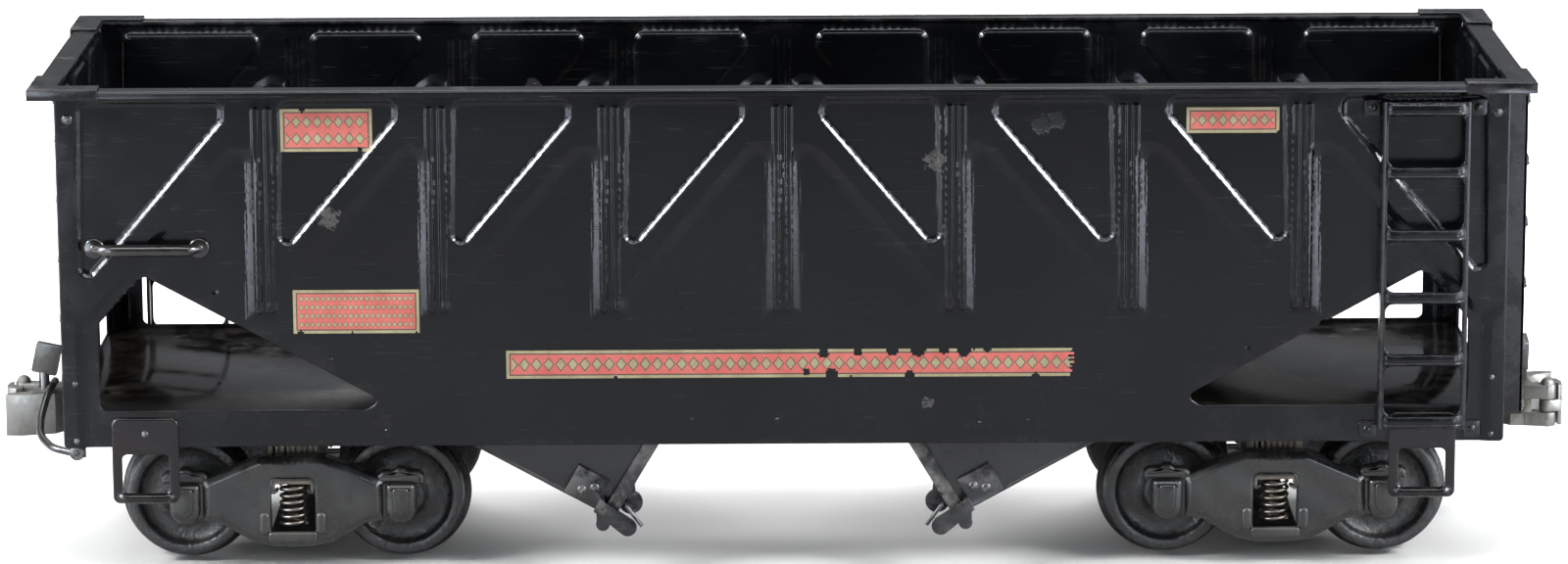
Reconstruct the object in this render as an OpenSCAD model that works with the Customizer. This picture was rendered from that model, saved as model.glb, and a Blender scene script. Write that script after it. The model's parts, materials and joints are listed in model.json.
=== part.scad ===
// Model railway hopper car for outdoor track, in millimetres.
// X runs along the car, Y across it, Z up from the rail heads under the wheel flanges.
// End "a" is at -X and end "b" at +X; the near side is at -Y and the far side at +Y.
// The car reads the same when it is turned half a turn about Z.

/* [Body] */
// Length over the corner posts
body_l = 503; // [496:1:510]
// Width over the pressed side sheets
body_w = 141.7; // [138:0.1:144]
// Height of the lower edge of the sides
sill_z = 47; // [46:0.5:49]
// Height of the side sheets, up to the inside of the rim
side_h = 126.3; // [124:0.1:128]
// Thickness of the pressed sheets
sheet = 1.2; // [1:0.1:1.3]
// Distance between two posts
bay = 60; // [59:0.5:60.5]
// Number of posts on a side
posts = 7; // [7:2:7]
// How far the posts and braces stand out of the sheet
press = 1.2; // [0.8:0.1:1.2]
// How far the rim stands out of the sides
rim_out = 7; // [6.5:0.1:7.2]
// Height of the rim's outer face
rim_h = 2.6; // [2.4:0.1:3]

/* [Windows and hopper] */
// Distance from the middle of the car to the window's upright edge
window_x = 238.5; // [237:0.5:239]
// Distance from the middle of the car to the window's highest point
apex_x = 222.3; // [220:0.1:223]
// Height of the window's highest point
apex_z = 108.3; // [107:0.1:109]
// Angle of the sloping hopper sheets
slope_a = 28.7; // [28.5:0.1:29]
// Angle of a closed door from the vertical
door_a = 31; // [30:0.5:31.5]
// Distance from the middle of the car to a door's face at the sill
door_x = 43.5; // [43:0.1:44.5]
// Height of the peak between the two doors
ridge_z = 86; // [80:1:95]

/* [Trucks] */
// Distance from the middle of the car to a truck's pivot
truck_x = 173; // [172:0.5:174]
// Distance between a truck's two axles
wheelbase = 76; // [75:0.5:77]
// Radius of a wheel at its flange
flange_r = 24; // [23.5:0.1:24]
// Distance between the backs of two wheels
back_to_back = 79; // [78.5:0.1:79.5]
// Radius of the axles
axle_r = 2.5; // [2.2:0.1:2.6]
// How far the side frames can rise on their springs
spring_travel = 2; // [1:0.1:2]
// Turns of a truck spring
spring_turns = 6.5; // [4.5:1:6.5]

/* [Couplers] */
// Height of the couplers
coupler_z = 45; // [44.5:0.1:45.5]
// Distance from the middle of the car to a coupler's pivot
coupler_pivot_x = 240; // [239:0.5:241]
// Height of a coupler's head
head_h = 15; // [14.5:0.1:15.5]

/* [Ladders and steps] */
// Height between two rungs
rung_pitch = 22.1; // [21.9:0.1:22.1]
// Number of rungs
rungs = 6; // [6:1:6]
// Width of a ladder
ladder_w = 30.3; // [29:0.1:30.3]
// Width of a stirrup step
step_w = 23.3; // [22:0.1:23.3]
// Height of a stirrup step
step_h = 30.5; // [29:0.1:31]

/* [Hidden] */
$fn = 48;

side_y = body_w / 2;
inner_y = side_y - sheet;
proud_y = side_y + press;
end_x = body_l / 2;
inner_x = end_x - sheet;
sheet_top = sill_z + side_h;
rim_top = sheet_top + sheet;
rim_y = side_y + rim_out;
rim_x = end_x + rim_out + 0.8;
fit = 0.06;

// Window in the side sheets
window_z = sill_z + 13;
window_shoulder_z = 91;
floor_top = sill_z + 11.5;
slope_t = tan(slope_a);
slope_rise = sheet / cos(slope_a);
function slope_z(x) = apex_z - (apex_x - x) * slope_t;
function slope_x(z) = apex_x - (apex_z - z) / slope_t;

// Posts and braces
post_w = 13;
post_foot_z = sill_z + 45;
header_z = sill_z + 121;
corner_post_x = 243.1;
brace_t = 1.14;
brace_w = 16;
brace_foot = [11.4, sill_z + 76.2];
bead_r = 1.25;
bead_gap = 2.05;
end_post_y = 23;
end_ladder_y = 27.4;
lever_gap_z = sill_z + 1.3;

// Doors: the face runs from the hinge down to the lip, and the hinge lies behind the sill
door_t = tan(door_a);
door_lip_z = 19.5;
hinge_z = 60.6;
hinge_r = 1;
knuckle_r = 2;
door_skin = sheet / cos(door_a);
function door_face_x(z) = door_x + (sill_z - z) * door_t;
hinge_x = door_face_x(hinge_z) - 0.7;
chute_y = side_y - 4.85;
chute_top = sill_z + 5;
slope_tip_x = door_face_x(door_lip_z) + door_skin + 0.6;
chute_split_x = slope_x(sill_z) + 1.5;
latch_r = 0.7;
latch_x = 55;
latch_z = 24.9;
ear_y = 62;

// Trucks
axle_z = flange_r;
wheel_y = back_to_back / 2;
frame_y = 56;
frame_t = 6;
frame_top = 40.5;
plank_z = 13.6;
plank_t = 1.6;
spring_y = 57;
spring_r = 4.5;
wire_r = 0.6;
spring_top = 30.6;
bolster_top = sill_z;
king_r = 2.5;

// Couplers
knuckle_x = 275.4;
knuckle_y = 8;
knuckle_pin_r = 1.4;
lock_x = 267;
lock_r = 1.9;
lever_r = 1.4;
lever_pivot = [247.5, 44.4];

module mirrored_x() { children(); mirror([1, 0, 0]) children(); }
module mirrored_y() { children(); mirror([0, 1, 0]) children(); }
module at_end_b(end) rotate([0, 0, end == "b" ? 0 : 180]) children();
module along_y(y0, y1) translate([0, y1, 0]) rotate([90, 0, 0]) linear_extrude(y1 - y0) children();
module along_x(x0, x1) translate([x0, 0, 0]) rotate([90, 0, 90]) linear_extrude(x1 - x0) children();
module rod(a, b, r) {
    d = b - a;
    translate(a) rotate([0, acos(d[2] / norm(d)), atan2(d[1], d[0])]) cylinder(h = norm(d), r = r);
}
module pin_y(x, z, y0, y1, r) translate([x, y1, z]) rotate([90, 0, 0]) cylinder(h = y1 - y0, r = r);
module pin_z(x, y, z0, z1, r) translate([x, y, z0]) cylinder(h = z1 - z0, r = r);
module box(a, b) translate(a) cube(b - a);
module rounded(x0, y0, x1, y1, r) {
    translate([x0 + r, y0]) square([x1 - x0 - 2 * r, y1 - y0]);
    translate([x0, y0 + r]) square([x1 - x0, y1 - y0 - 2 * r]);
    for (x = [x0 + r, x1 - r], y = [y0 + r, y1 - r]) translate([x, y]) circle(r);
}

// ---- Body shell ----

module window_shape() polygon([
    [window_x, window_z], [window_x, window_shoulder_z], [apex_x, apex_z],
    [slope_x(window_z + 3.5), window_z + 3.5], [slope_x(window_z + 3.5) + 5, window_z]
]);

module brace_shape(x0, start_x) {
    upper = function(x) brace_foot[1] + brace_t * (x - x0 - brace_foot[0]);
    lower = function(x) upper(x - brace_w);
    post_edge = x0 + bay - post_w / 2;
    polygon([
        [start_x, lower(start_x)], [post_edge, lower(post_edge)], [post_edge, header_z],
        [x0 + brace_foot[0] + (header_z - brace_foot[1]) / brace_t, header_z],
        [start_x, upper(start_x)]
    ]);
}

module raised_shape() {
    half = (posts - 1) / 2;
    for (i = [-half : half])
        translate([i * bay - post_w / 2, post_foot_z]) square([post_w, sheet_top - post_foot_z]);
    translate([-end_x, header_z]) square([body_l, sheet_top - header_z]);
    mirrored_x() {
        translate([corner_post_x, sill_z]) square([end_x - corner_post_x, side_h]);
        for (i = [1 : half]) brace_shape(-i * bay, -i * bay + post_w / 2);
        brace_shape(-(half + 1) * bay, -corner_post_x);
    }
}

module side_panel() color([0.14, 0.15, 0.17]) {
    along_y(-side_y, -inner_y) difference() {
        translate([-end_x, sill_z]) square([body_l, side_h]);
        mirrored_x() window_shape();
    }
    along_y(-proud_y, -side_y) raised_shape();
    for (i = [-(posts - 1) / 2 : (posts - 1) / 2], s = [-1, 1])
        pin_z(i * bay + s * bead_gap, -proud_y + 0.3, post_foot_z + 3, header_z - 3, bead_r);
}

module end_sheet() {
    translate([-inner_y, slope_z(inner_x)]) square([2 * inner_y, sheet_top - slope_z(inner_x)]);
    for (s = [-1, 1]) translate([s > 0 ? 61.5 : -inner_y, lever_gap_z])
        square([inner_y - 61.5, slope_z(inner_x) - lever_gap_z]);
}

module end_bands() {
    translate([-inner_y, header_z]) square([2 * inner_y, sheet_top - header_z]);
    for (s = [-1, 1]) translate([s * end_post_y - post_w / 2, slope_z(end_x) + 4])
        square([post_w, header_z - slope_z(end_x)]);
}

module end_panel() color([0.14, 0.15, 0.17]) {
    along_x(inner_x, end_x) end_sheet();
    along_x(end_x, end_x + press) end_bands();
    for (i = [-1, 1], s = [-1, 1])
        pin_z(end_x + press - 0.3, i * end_post_y + s * bead_gap, slope_z(end_x) + 7, header_z - 3, bead_r);
}

module top_rim() color([0.16, 0.17, 0.19]) difference() {
    box([-rim_x, -rim_y, rim_top - rim_h], [rim_x, rim_y, rim_top]);
    box([-inner_x, -inner_y, sill_z], [inner_x, inner_y, rim_top + 1]);
    box([-rim_x + sheet, -rim_y + sheet, sill_z], [rim_x - sheet, rim_y - sheet, sheet_top]);
}

module corner_caps() color([0.16, 0.17, 0.19]) mirrored_x() mirrored_y() {
    out = 0.8;
    leg_x = rim_x + out - 24.5;
    leg_y = rim_y + out - 30;
    translate([0, 0, rim_top]) linear_extrude(1) polygon([
        [rim_x + out, rim_y + out], [rim_x + out, leg_y], [inner_x, leg_y],
        [inner_x, inner_y], [leg_x, inner_y], [leg_x, rim_y + out]
    ]);
    box([leg_x, rim_y, rim_top - rim_h - 0.4], [rim_x + out, rim_y + out, rim_top]);
    box([rim_x, leg_y, rim_top - rim_h - 0.4], [rim_x + out, rim_y, rim_top]);
}

module slope_sheet() color([0.12, 0.13, 0.15]) {
    along_y(-inner_y, inner_y) polygon([
        [inner_x, slope_z(inner_x)], [inner_x, slope_z(inner_x) + slope_rise],
        [chute_split_x, slope_z(chute_split_x) + slope_rise], [chute_split_x, slope_z(chute_split_x)]
    ]);
    along_y(-chute_y - sheet, chute_y + sheet) polygon([
        [chute_split_x, slope_z(chute_split_x)],
        [chute_split_x, slope_z(chute_split_x) + slope_rise],
        [slope_tip_x, slope_z(slope_tip_x) + slope_rise], [slope_tip_x, slope_z(slope_tip_x)]
    ]);
}

module hopper_sides() color([0.13, 0.14, 0.16]) mirrored_y() {
    edge = door_skin + 0.35;
    foot_z = slope_z(slope_tip_x) + slope_rise + 1.2;
    along_y(-chute_y - sheet, -chute_y) polygon([
        [door_face_x(chute_top) + edge, chute_top],
        [slope_x(chute_top - slope_rise), chute_top],
        [slope_x(foot_z - slope_rise), foot_z], [door_face_x(foot_z) + edge, foot_z]
    ]);
    box([door_face_x(chute_top) + 12, -inner_y, chute_top - sheet],
        [slope_x(chute_top) - 6, -chute_y - sheet, chute_top]);
}

module centre_ridge() color([0.12, 0.13, 0.15]) {
    foot = [hinge_x - 1.8, hinge_z + 3.4];
    along_y(-inner_y, inner_y) polygon([
        [-foot[0], foot[1]], [0, ridge_z], [foot[0], foot[1]],
        [foot[0], foot[1] + 1.5], [0, ridge_z + 1.5], [-foot[0], foot[1] + 1.5]
    ]);
}

module floor_plate() color([0.1, 0.1, 0.1]) {
    start_x = slope_x(floor_top) + 0.1;
    r = 5;
    translate([0, 0, floor_top - sheet]) linear_extrude(sheet) {
        translate([start_x, -inner_y]) square([inner_x - r - start_x, 2 * inner_y]);
        translate([start_x, r - inner_y]) square([inner_x - start_x, 2 * (inner_y - r)]);
        for (s = [-1, 1]) translate([inner_x - r, s * (inner_y - r)]) circle(r);
    }
}

module end_sill() color([0.14, 0.15, 0.17]) along_x(inner_x, end_x) difference() {
    translate([-61.5, sill_z]) square([123, floor_top - sill_z]);
    translate([-10, sill_z - 1]) square([20, 5.5]);
}

module body_bolsters() color([0.13, 0.14, 0.16]) mirrored_x() {
    box([truck_x - 12, -60, bolster_top + 4], [truck_x + 12, 60, floor_top - sheet]);
    pin_z(truck_x, 0, bolster_top + 0.3, bolster_top + 4, 13);
    pin_z(truck_x, 0, 37.7, bolster_top + 0.3, king_r);
    pin_z(truck_x, 0, 34.5, 37.7, 4.5);
}

// ---- Ladders, grab irons, steps ----

module ladder_face(half, z_top) difference() {
    bottom = z_top - (rungs - 1) * rung_pitch;
    translate([-half, bottom - 2.7]) square([2 * half, z_top - bottom + 5.4]);
    for (i = [1 : rungs - 1])
        rounded(1.8 - half, bottom + (i - 1) * rung_pitch + 2.6,
                half - 1.8, bottom + i * rung_pitch - 2.6, 2);
}

// A ladder whose face looks along -Y: x is its middle, foot_y where it is fixed
module ladder(x, face_y, foot_y, z_top) color([0.15, 0.16, 0.18]) {
    half = ladder_w / 2;
    bottom = z_top - (rungs - 1) * rung_pitch;
    translate([x, 0, 0]) {
        along_y(-face_y, -face_y + 1) ladder_face(half, z_top);
        for (s = [-1, 1])
            box([s > 0 ? half - sheet : -half, -face_y + 1, bottom - 2.7],
                [s > 0 ? half : sheet - half, -foot_y, z_top + 2.7]);
        for (i = [0 : rungs - 1])
            translate([2.2 - half, -face_y + 1, z_top - i * rung_pitch]) rotate([0, 90, 0])
                cylinder(h = ladder_w - 4.4, r = 2.5);
    }
}

module ladder_feet(x, foot_y, z, y_in) color([0.15, 0.16, 0.18])
    for (s = [-1, 1])
        translate([x + s * (ladder_w / 2 + 3), 0, 0])
            box([-3, -foot_y - 1, z - 3], [3, -y_in, z + 3]);

module side_ladder() {
    ladder(222.15, rim_y + 0.55, proud_y, 166);
    ladder_feet(222.15, proud_y, 166, proud_y);
    ladder_feet(222.15, proud_y, 51.5, side_y);
}

module end_ladder() rotate([0, 0, 90]) {
    ladder(-end_ladder_y, rim_x + 2.5, end_x, 163);
    ladder_feet(-end_ladder_y, end_x, 163, end_x);
    ladder_feet(-end_ladder_y, end_x, 51, end_x);
}

module grab_iron() color([0.3, 0.24, 0.2]) {
    discs = [-239, -202.6];
    z = 118.2;
    bar_y = -side_y - 4.4;
    for (x = discs) pin_y(x, z, -side_y - 1.2, -side_y, 3.6);
    rod([discs[0], -side_y - 1, z], [-234.6, bar_y, z], 1.6);
    rod([discs[1], -side_y - 1, z], [-207, bar_y, z], 1.6);
    translate([-235.2, bar_y, z]) rotate([0, 90, 0]) cylinder(h = 28.8, r = 2.2);
}

module stirrup_steps() color([0.13, 0.13, 0.14]) mirrored_x() mirrored_y() {
    x0 = 223.15 - step_w / 2;
    z0 = 57.5 - step_h;
    along_y(-side_y - 1.3, -side_y) difference() {
        rounded(x0, z0, x0 + step_w, z0 + step_h, 2);
        rounded(x0 + 3.4, z0 + 3.4, x0 + step_w - 3.4, z0 + 18, 1.6);
    }
    translate([x0 + 2.4, -side_y - 1.2, z0 + 1.9]) rotate([0, 90, 0])
        cylinder(h = step_w - 4.8, r = 1.8);
}

// ---- Hopper fittings ----

// A plate riveted to the hopper's side, with a joggled arm that holds the latch rod
module latch_bracket() {
    along_y(-chute_y - 2 * sheet, -chute_y - sheet)
        polygon([[71.8, 39.1], [61, 33.1], [66.2, 23.8], [77, 29.8]]);
    along_y(-chute_y - 3.2 * sheet, -chute_y - sheet) polygon([
        [64.4, 27.2], [63, 26.4], [65.4, 22.2], [66.8, 23]
    ]);
    along_y(-chute_y - 4.2 * sheet, -chute_y - 3.2 * sheet) {
        polygon([[64.4, 27.2], [53.3, 19.9], [56.6, 14.4], [66.8, 23]]);
        translate([54.9, 17.2]) circle(3.2);
        translate([63.6, 18.4]) circle(2.4);
        translate([62.4, 18.6]) square([3.4, 4]);
    }
}

module latch_brackets() color([0.12, 0.12, 0.13]) mirrored_x() mirrored_y() latch_bracket();

module door_hinge_pins() color([0.45, 0.45, 0.46]) mirrored_x()
    pin_y(hinge_x, hinge_z, -inner_y, inner_y, hinge_r);

module rivets() color([0.2, 0.2, 0.22]) mirrored_x() mirrored_y() {
    for (p = [[70.9, 30.3], [66.4, 31]])
        pin_y(p[0], p[1], -chute_y - 2 * sheet - 0.7, -chute_y - 2 * sheet, 1.7);
    pin_y(247, 164, -proud_y - 0.8, -proud_y, 1.9);
    for (z = [70, 49.6]) pin_y(247, z, -proud_y - 0.5, -proud_y, 1);
    pin_y(223.15, 52, -side_y - 2, -side_y - 1.3, 1.2);
}

module door_profile(z0, z1, t) polygon([
    [door_face_x(z0), z0], [door_face_x(z1), z1], [door_face_x(z1) + t, z1],
    [door_face_x(z0) + t, z0]
]);

module door() color([0.13, 0.14, 0.16]) difference() {
    union() {
        along_y(-chute_y - sheet - 0.3, chute_y + sheet + 0.3)
            door_profile(door_lip_z, hinge_z, door_skin);
        mirrored_y() along_y(-chute_y - 2 * sheet - 0.3, -chute_y - sheet - 0.3)
            door_profile(door_lip_z + 2, 50, 5.4);
        mirrored_y() along_y(-ear_y - sheet, -ear_y) {
            translate([53.9, 24.4]) circle(4.2);
            polygon([[52.6, 32.4], [54.5, 32.4], [58, 26], [52, 26]]);
        }
        pin_y(hinge_x, hinge_z, -inner_y + 0.8, inner_y - 0.8, knuckle_r);
    }
    pin_y(hinge_x, hinge_z, -inner_y, inner_y, hinge_r + fit);
    pin_y(latch_x, latch_z, -ear_y - 2, ear_y + 2, latch_r + fit);
}

module latch_rod() color([0.75, 0.75, 0.74]) {
    out = chute_y + 5.4 * sheet;
    pin_y(latch_x, latch_z, -out, out, latch_r);
    for (s = [-1, 1])
        rod([latch_x + 0.3, s * (out - 0.5), latch_z + 0.4],
            [latch_x - 5.2, s * (out + 0.1), latch_z - 6.8], latch_r);
}

// ---- Trucks ----

module wheel() color([0.2, 0.2, 0.21]) rotate([-90, 0, 0]) rotate_extrude() polygon([
    [axle_r, wheel_y - 1], [6.5, wheel_y - 1], [7.5, wheel_y + 3], [17.4, wheel_y + 3],
    [18.4, wheel_y], [flange_r - 1, wheel_y], [flange_r, wheel_y + 1],
    [flange_r - 0.4, wheel_y + 2.2], [22.4, wheel_y + 3.4], [21.9, wheel_y + 10.6],
    [21.5, wheel_y + 11], [18.4, wheel_y + 11], [17.4, wheel_y + 7.4], [8, wheel_y + 6.2],
    [6.5, wheel_y + 12], [axle_r, wheel_y + 12]
]);

module wheels(x) translate([x, 0, axle_z]) mirrored_y() wheel();

module axle(x) color([0.4, 0.4, 0.42]) pin_y(x, axle_z, -60, 60, axle_r);

// One side frame at the near side, about the truck's middle
module side_frame() {
    half = wheelbase / 2;
    difference() {
        along_y(-frame_y - frame_t, -frame_y) {
            difference() {
                polygon([
                    [-12, frame_top], [12, frame_top], [31.5, 31.2], [half - 1, 30], [half - 1, 19],
                    [29.5, 18.5], [18.5, 12], [8, 7.8], [-8, 7.8], [-18.5, 12], [-29.5, 18.5],
                    [1 - half, 19], [1 - half, 30], [-31.5, 31.2]
                ]);
                rounded(-8.4, plank_z - 0.4, 8.4, 33.3, 1.6);
            }
        }
        for (s = [-1, 1]) pin_y(s * half, axle_z, -60.3, -frame_y + 1, axle_r + fit);
    }
    for (s = [-1, 1]) translate([s * half, 0, 0]) difference() {
        along_y(-frame_y - frame_t - 1.4, -frame_y + 1.5) {
            translate([-5.3, 22.3]) square([10.6, 8.6]);
            translate([0, 22.3]) circle(5.3);
        }
        pin_y(0, axle_z, -60.3, -frame_y + 2, axle_r + fit);
    }
}

module side_frames(x) color([0.15, 0.16, 0.17]) translate([x, 0, 0]) mirrored_y() side_frame();

module spring_plank(x) color([0.2, 0.18, 0.15]) translate([x, 0, 0]) {
    lip_y = frame_y + frame_t;
    box([-8.1, -lip_y, plank_z], [8.1, lip_y, plank_z + plank_t]);
    mirrored_y() {
        box([-8.1, -lip_y - 1.2, 10.2], [8.1, -lip_y, plank_z + plank_t]);
        for (s = [-1, 1]) translate([s * 9.7, 0, 0])
            box([-1.6, -lip_y - 1.2, 13], [1.6, -lip_y, 20]);
    }
}

module bolster(x) color([0.17, 0.17, 0.18]) translate([x, 0, 0]) difference() {
    union() {
        box([-11, -44, 38], [11, 44, bolster_top - 2]);
        pin_z(0, 0, 38, bolster_top, 13);
        mirrored_y() {
            box([-9, -52, 31], [9, -43.9, bolster_top - 1]);
            for (i = [0 : 8]) translate([-8 + 2 * i, -52, 0]) box([-0.5, -0.6, 33], [0.5, 0, 45]);
            box([-7.6, -61.2, 31], [7.6, -51.9, 32.6]);
            for (s = [-1, 1]) translate([s * 7, 0, 0]) box([-0.6, -61.2, 27.6], [0.6, -58.2, 31.1]);
        }
    }
    pin_z(0, 0, 30, bolster_top + 1, king_r + fit);
}

// A round wire swept along a helix of the given height
module coil(height, turns, r, wire) {
    steps = 12;
    sides = 6;
    rings = turns * steps;
    point = function(i, j) let (
        a = 360 * i / steps, b = 360 * j / sides, out = r + wire * cos(b)
    ) [out * cos(a), out * sin(a), wire + (height - 2 * wire) * i / rings + wire * sin(b)];
    polyhedron(
        points = [for (i = [0 : rings], j = [0 : sides - 1]) point(i, j)],
        faces = concat(
            [[for (j = [0 : sides - 1]) j]],
            [for (i = [0 : rings - 1], j = [0 : sides - 1]) let (k = (j + 1) % sides)
                [i * sides + k, i * sides + j, (i + 1) * sides + j, (i + 1) * sides + k]],
            [[for (j = [sides - 1 : -1 : 0]) rings * sides + j]]
        ),
        convexity = 10
    );
}

module springs(x) color([0.35, 0.33, 0.3]) translate([x, 0, 0]) for (s = [-1, 1])
    translate([0, s * spring_y, plank_z + plank_t + 0.05])
        coil(spring_top - plank_z - plank_t, spring_turns, spring_r, wire_r);

// ---- Couplers, drawn at end b ----

module coupler_pocket() {
    box([228, -10.5, 51], [inner_x, 10.5, floor_top - sheet]);
    for (s = [-1, 1]) box([228, s > 0 ? 9 : -10.5, 40], [249, s > 0 ? 10.5 : -9, 51]);
    pin_z(coupler_pivot_x, 0, 40.6, 51, 2);
    pin_z(coupler_pivot_x, 0, 37.8, 40.6, 3.6);
}

module coupler_pockets() color([0.12, 0.12, 0.13]) {
    at_end_b("a") coupler_pocket();
    coupler_pocket();
}

module coupler_head() color([0.62, 0.62, 0.6]) {
    low = coupler_z - head_h / 2;
    high = coupler_z + head_h / 2;
    difference() {
        union() {
            box([235, -4.2, coupler_z - 4], [262, 4.2, coupler_z + 4]);
            translate([0, 0, low]) linear_extrude(head_h) polygon([
                [258, -4.2], [262, -9], [269.5, -9.5], [270, -3], [269.5, 3], [273, 7.5],
                [279, 10.5], [279.5, 13], [274, 13.5], [262, 10.5], [258, 4.2]
            ]);
            for (z = [[low, coupler_z - 2.5], [coupler_z + 2.5, high]])
                translate([0, 0, z[0]]) linear_extrude(z[1] - z[0]) {
                    translate([knuckle_x, -knuckle_y]) circle(3);
                    polygon([[267, -9.5], [knuckle_x, -knuckle_y - 3], [knuckle_x, 3 - knuckle_y],
                             [268, -4.6]]);
                }
            pin_z(knuckle_x, -knuckle_y, low - 0.5, high, knuckle_pin_r);
            translate([knuckle_x, -knuckle_y, high]) intersection() {
                sphere(2.6);
                cylinder(h = 3, r = 3);
            }
        }
        pin_z(coupler_pivot_x, 0, low, high, 2 + fit);
        pin_z(lock_x, 0, low - 1, high + 1, lock_r + fit);
    }
}

module knuckle() color([0.55, 0.55, 0.54]) {
    low = coupler_z - head_h / 2;
    difference() {
        union() {
            translate([0, 0, coupler_z - 2.2]) linear_extrude(4.4) {
                translate([knuckle_x, -knuckle_y]) circle(3);
                polygon([[knuckle_x, -knuckle_y - 3], [280.4, -knuckle_y - 1.5], [280.4, -4],
                         [knuckle_x, 3 - knuckle_y]]);
            }
            translate([0, 0, low]) linear_extrude(head_h) polygon([
                [279, -knuckle_y - 1.5], [280.6, -knuckle_y], [281, -3], [280, 1.5], [277, 2.8],
                [274.8, 1.6], [274.6, -1.6], [278.2, -4.4], [279, -6]
            ]);
        }
        pin_z(knuckle_x, -knuckle_y, low, low + head_h, knuckle_pin_r + fit);
    }
}

// The lock's flat thumb plate stands on its stem, turned about the stem as last dropped
module lock_pin(turn) color([0.4, 0.4, 0.4]) {
    pin_z(lock_x, 0, 40, 58.1, lock_r);
    translate([lock_x, 0, 57.7]) rotate([0, 0, turn]) rotate([0, -12, 0])
        along_y(-1.6, 1.6) rounded(-4.6, 0, 4.6, 11, 0.8);
}

module cut_lever() color([0.08, 0.08, 0.09]) {
    path = [
        [249.4, 67.4, 44.5], [256.5, 64.5, 45.4], [262, 54, 47], [264, 36, 49.6],
        [263.5, 19, 54.2], [263, 1, 54.9]
    ];
    for (i = [0 : len(path) - 2]) {
        over = 0.5 * (path[i + 1] - path[i]) / norm(path[i + 1] - path[i]);
        rod(path[i] - (i > 0 ? over : [0, 0, 0]), path[i + 1] + over, lever_r);
    }
    difference() {
        pin_y(lever_pivot[0], lever_pivot[1], 66, 68.8, 2.7);
        pin_y(lever_pivot[0], lever_pivot[1], 65, 69, 1 + fit);
    }
}

module lever_hanger() {
    pin_y(lever_pivot[0], lever_pivot[1], 64.9, 69.6, 1);
    box([244.8, 63.4, 42], [250.2, 64.9, 52]);
    box([244.8, 63.4, 51], [inner_x, inner_y, 52]);
}

module lever_hangers() color([0.12, 0.12, 0.13]) {
    at_end_b("a") lever_hanger();
    lever_hanger();
}

side_panel();  // side_panel_near
rotate([0, 0, 180]) side_panel();  // side_panel_far
at_end_b("a") end_panel();  // end_panel_a
at_end_b("b") end_panel();  // end_panel_b
top_rim();
corner_caps();
at_end_b("a") slope_sheet();  // slope_sheet_a
at_end_b("b") slope_sheet();  // slope_sheet_b
at_end_b("a") hopper_sides();  // hopper_sides_a
at_end_b("b") hopper_sides();  // hopper_sides_b
centre_ridge();
at_end_b("a") floor_plate();  // floor_plate_a
at_end_b("b") floor_plate();  // floor_plate_b
at_end_b("a") end_sill();  // end_sill_a
at_end_b("b") end_sill();  // end_sill_b
side_ladder();  // side_ladder_near
at_end_b("a") side_ladder();  // side_ladder_far
at_end_b("a") end_ladder();  // end_ladder_a
end_ladder();  // end_ladder_b
grab_iron();  // grab_iron_near
at_end_b("a") grab_iron();  // grab_iron_far
stirrup_steps();
latch_brackets();
door_hinge_pins();
rivets();
body_bolsters();
coupler_pockets();
lever_hangers();
bolster(-truck_x);  // bolster_a
bolster(truck_x);  // bolster_b
side_frames(-truck_x);  // side_frames_a
side_frames(truck_x);  // side_frames_b
spring_plank(-truck_x);  // spring_plank_a
spring_plank(truck_x);  // spring_plank_b
springs(-truck_x);  // springs_a
springs(truck_x);  // springs_b
wheels(-truck_x - wheelbase / 2);  // wheels_a1
wheels(wheelbase / 2 - truck_x);  // wheels_a2
wheels(truck_x - wheelbase / 2);  // wheels_b1
wheels(truck_x + wheelbase / 2);  // wheels_b2
axle(-truck_x - wheelbase / 2);  // axle_a1
axle(wheelbase / 2 - truck_x);  // axle_a2
axle(truck_x - wheelbase / 2);  // axle_b1
axle(truck_x + wheelbase / 2);  // axle_b2
at_end_b("a") coupler_head();  // coupler_head_a
coupler_head();  // coupler_head_b
at_end_b("a") knuckle();  // knuckle_a
knuckle();  // knuckle_b
at_end_b("a") lock_pin(0);  // lock_pin_a
lock_pin(90);  // lock_pin_b
at_end_b("a") cut_lever();  // cut_lever_a
cut_lever();  // cut_lever_b
at_end_b("a") door();  // door_a
door();  // door_b
at_end_b("a") latch_rod();  // latch_rod_a
latch_rod();  // latch_rod_b
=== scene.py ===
import json
import math
import random

import bmesh
import bpy
import numpy as np
from mathutils import Matrix, Vector
from mathutils.geometry import delaunay_2d_cdt

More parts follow.
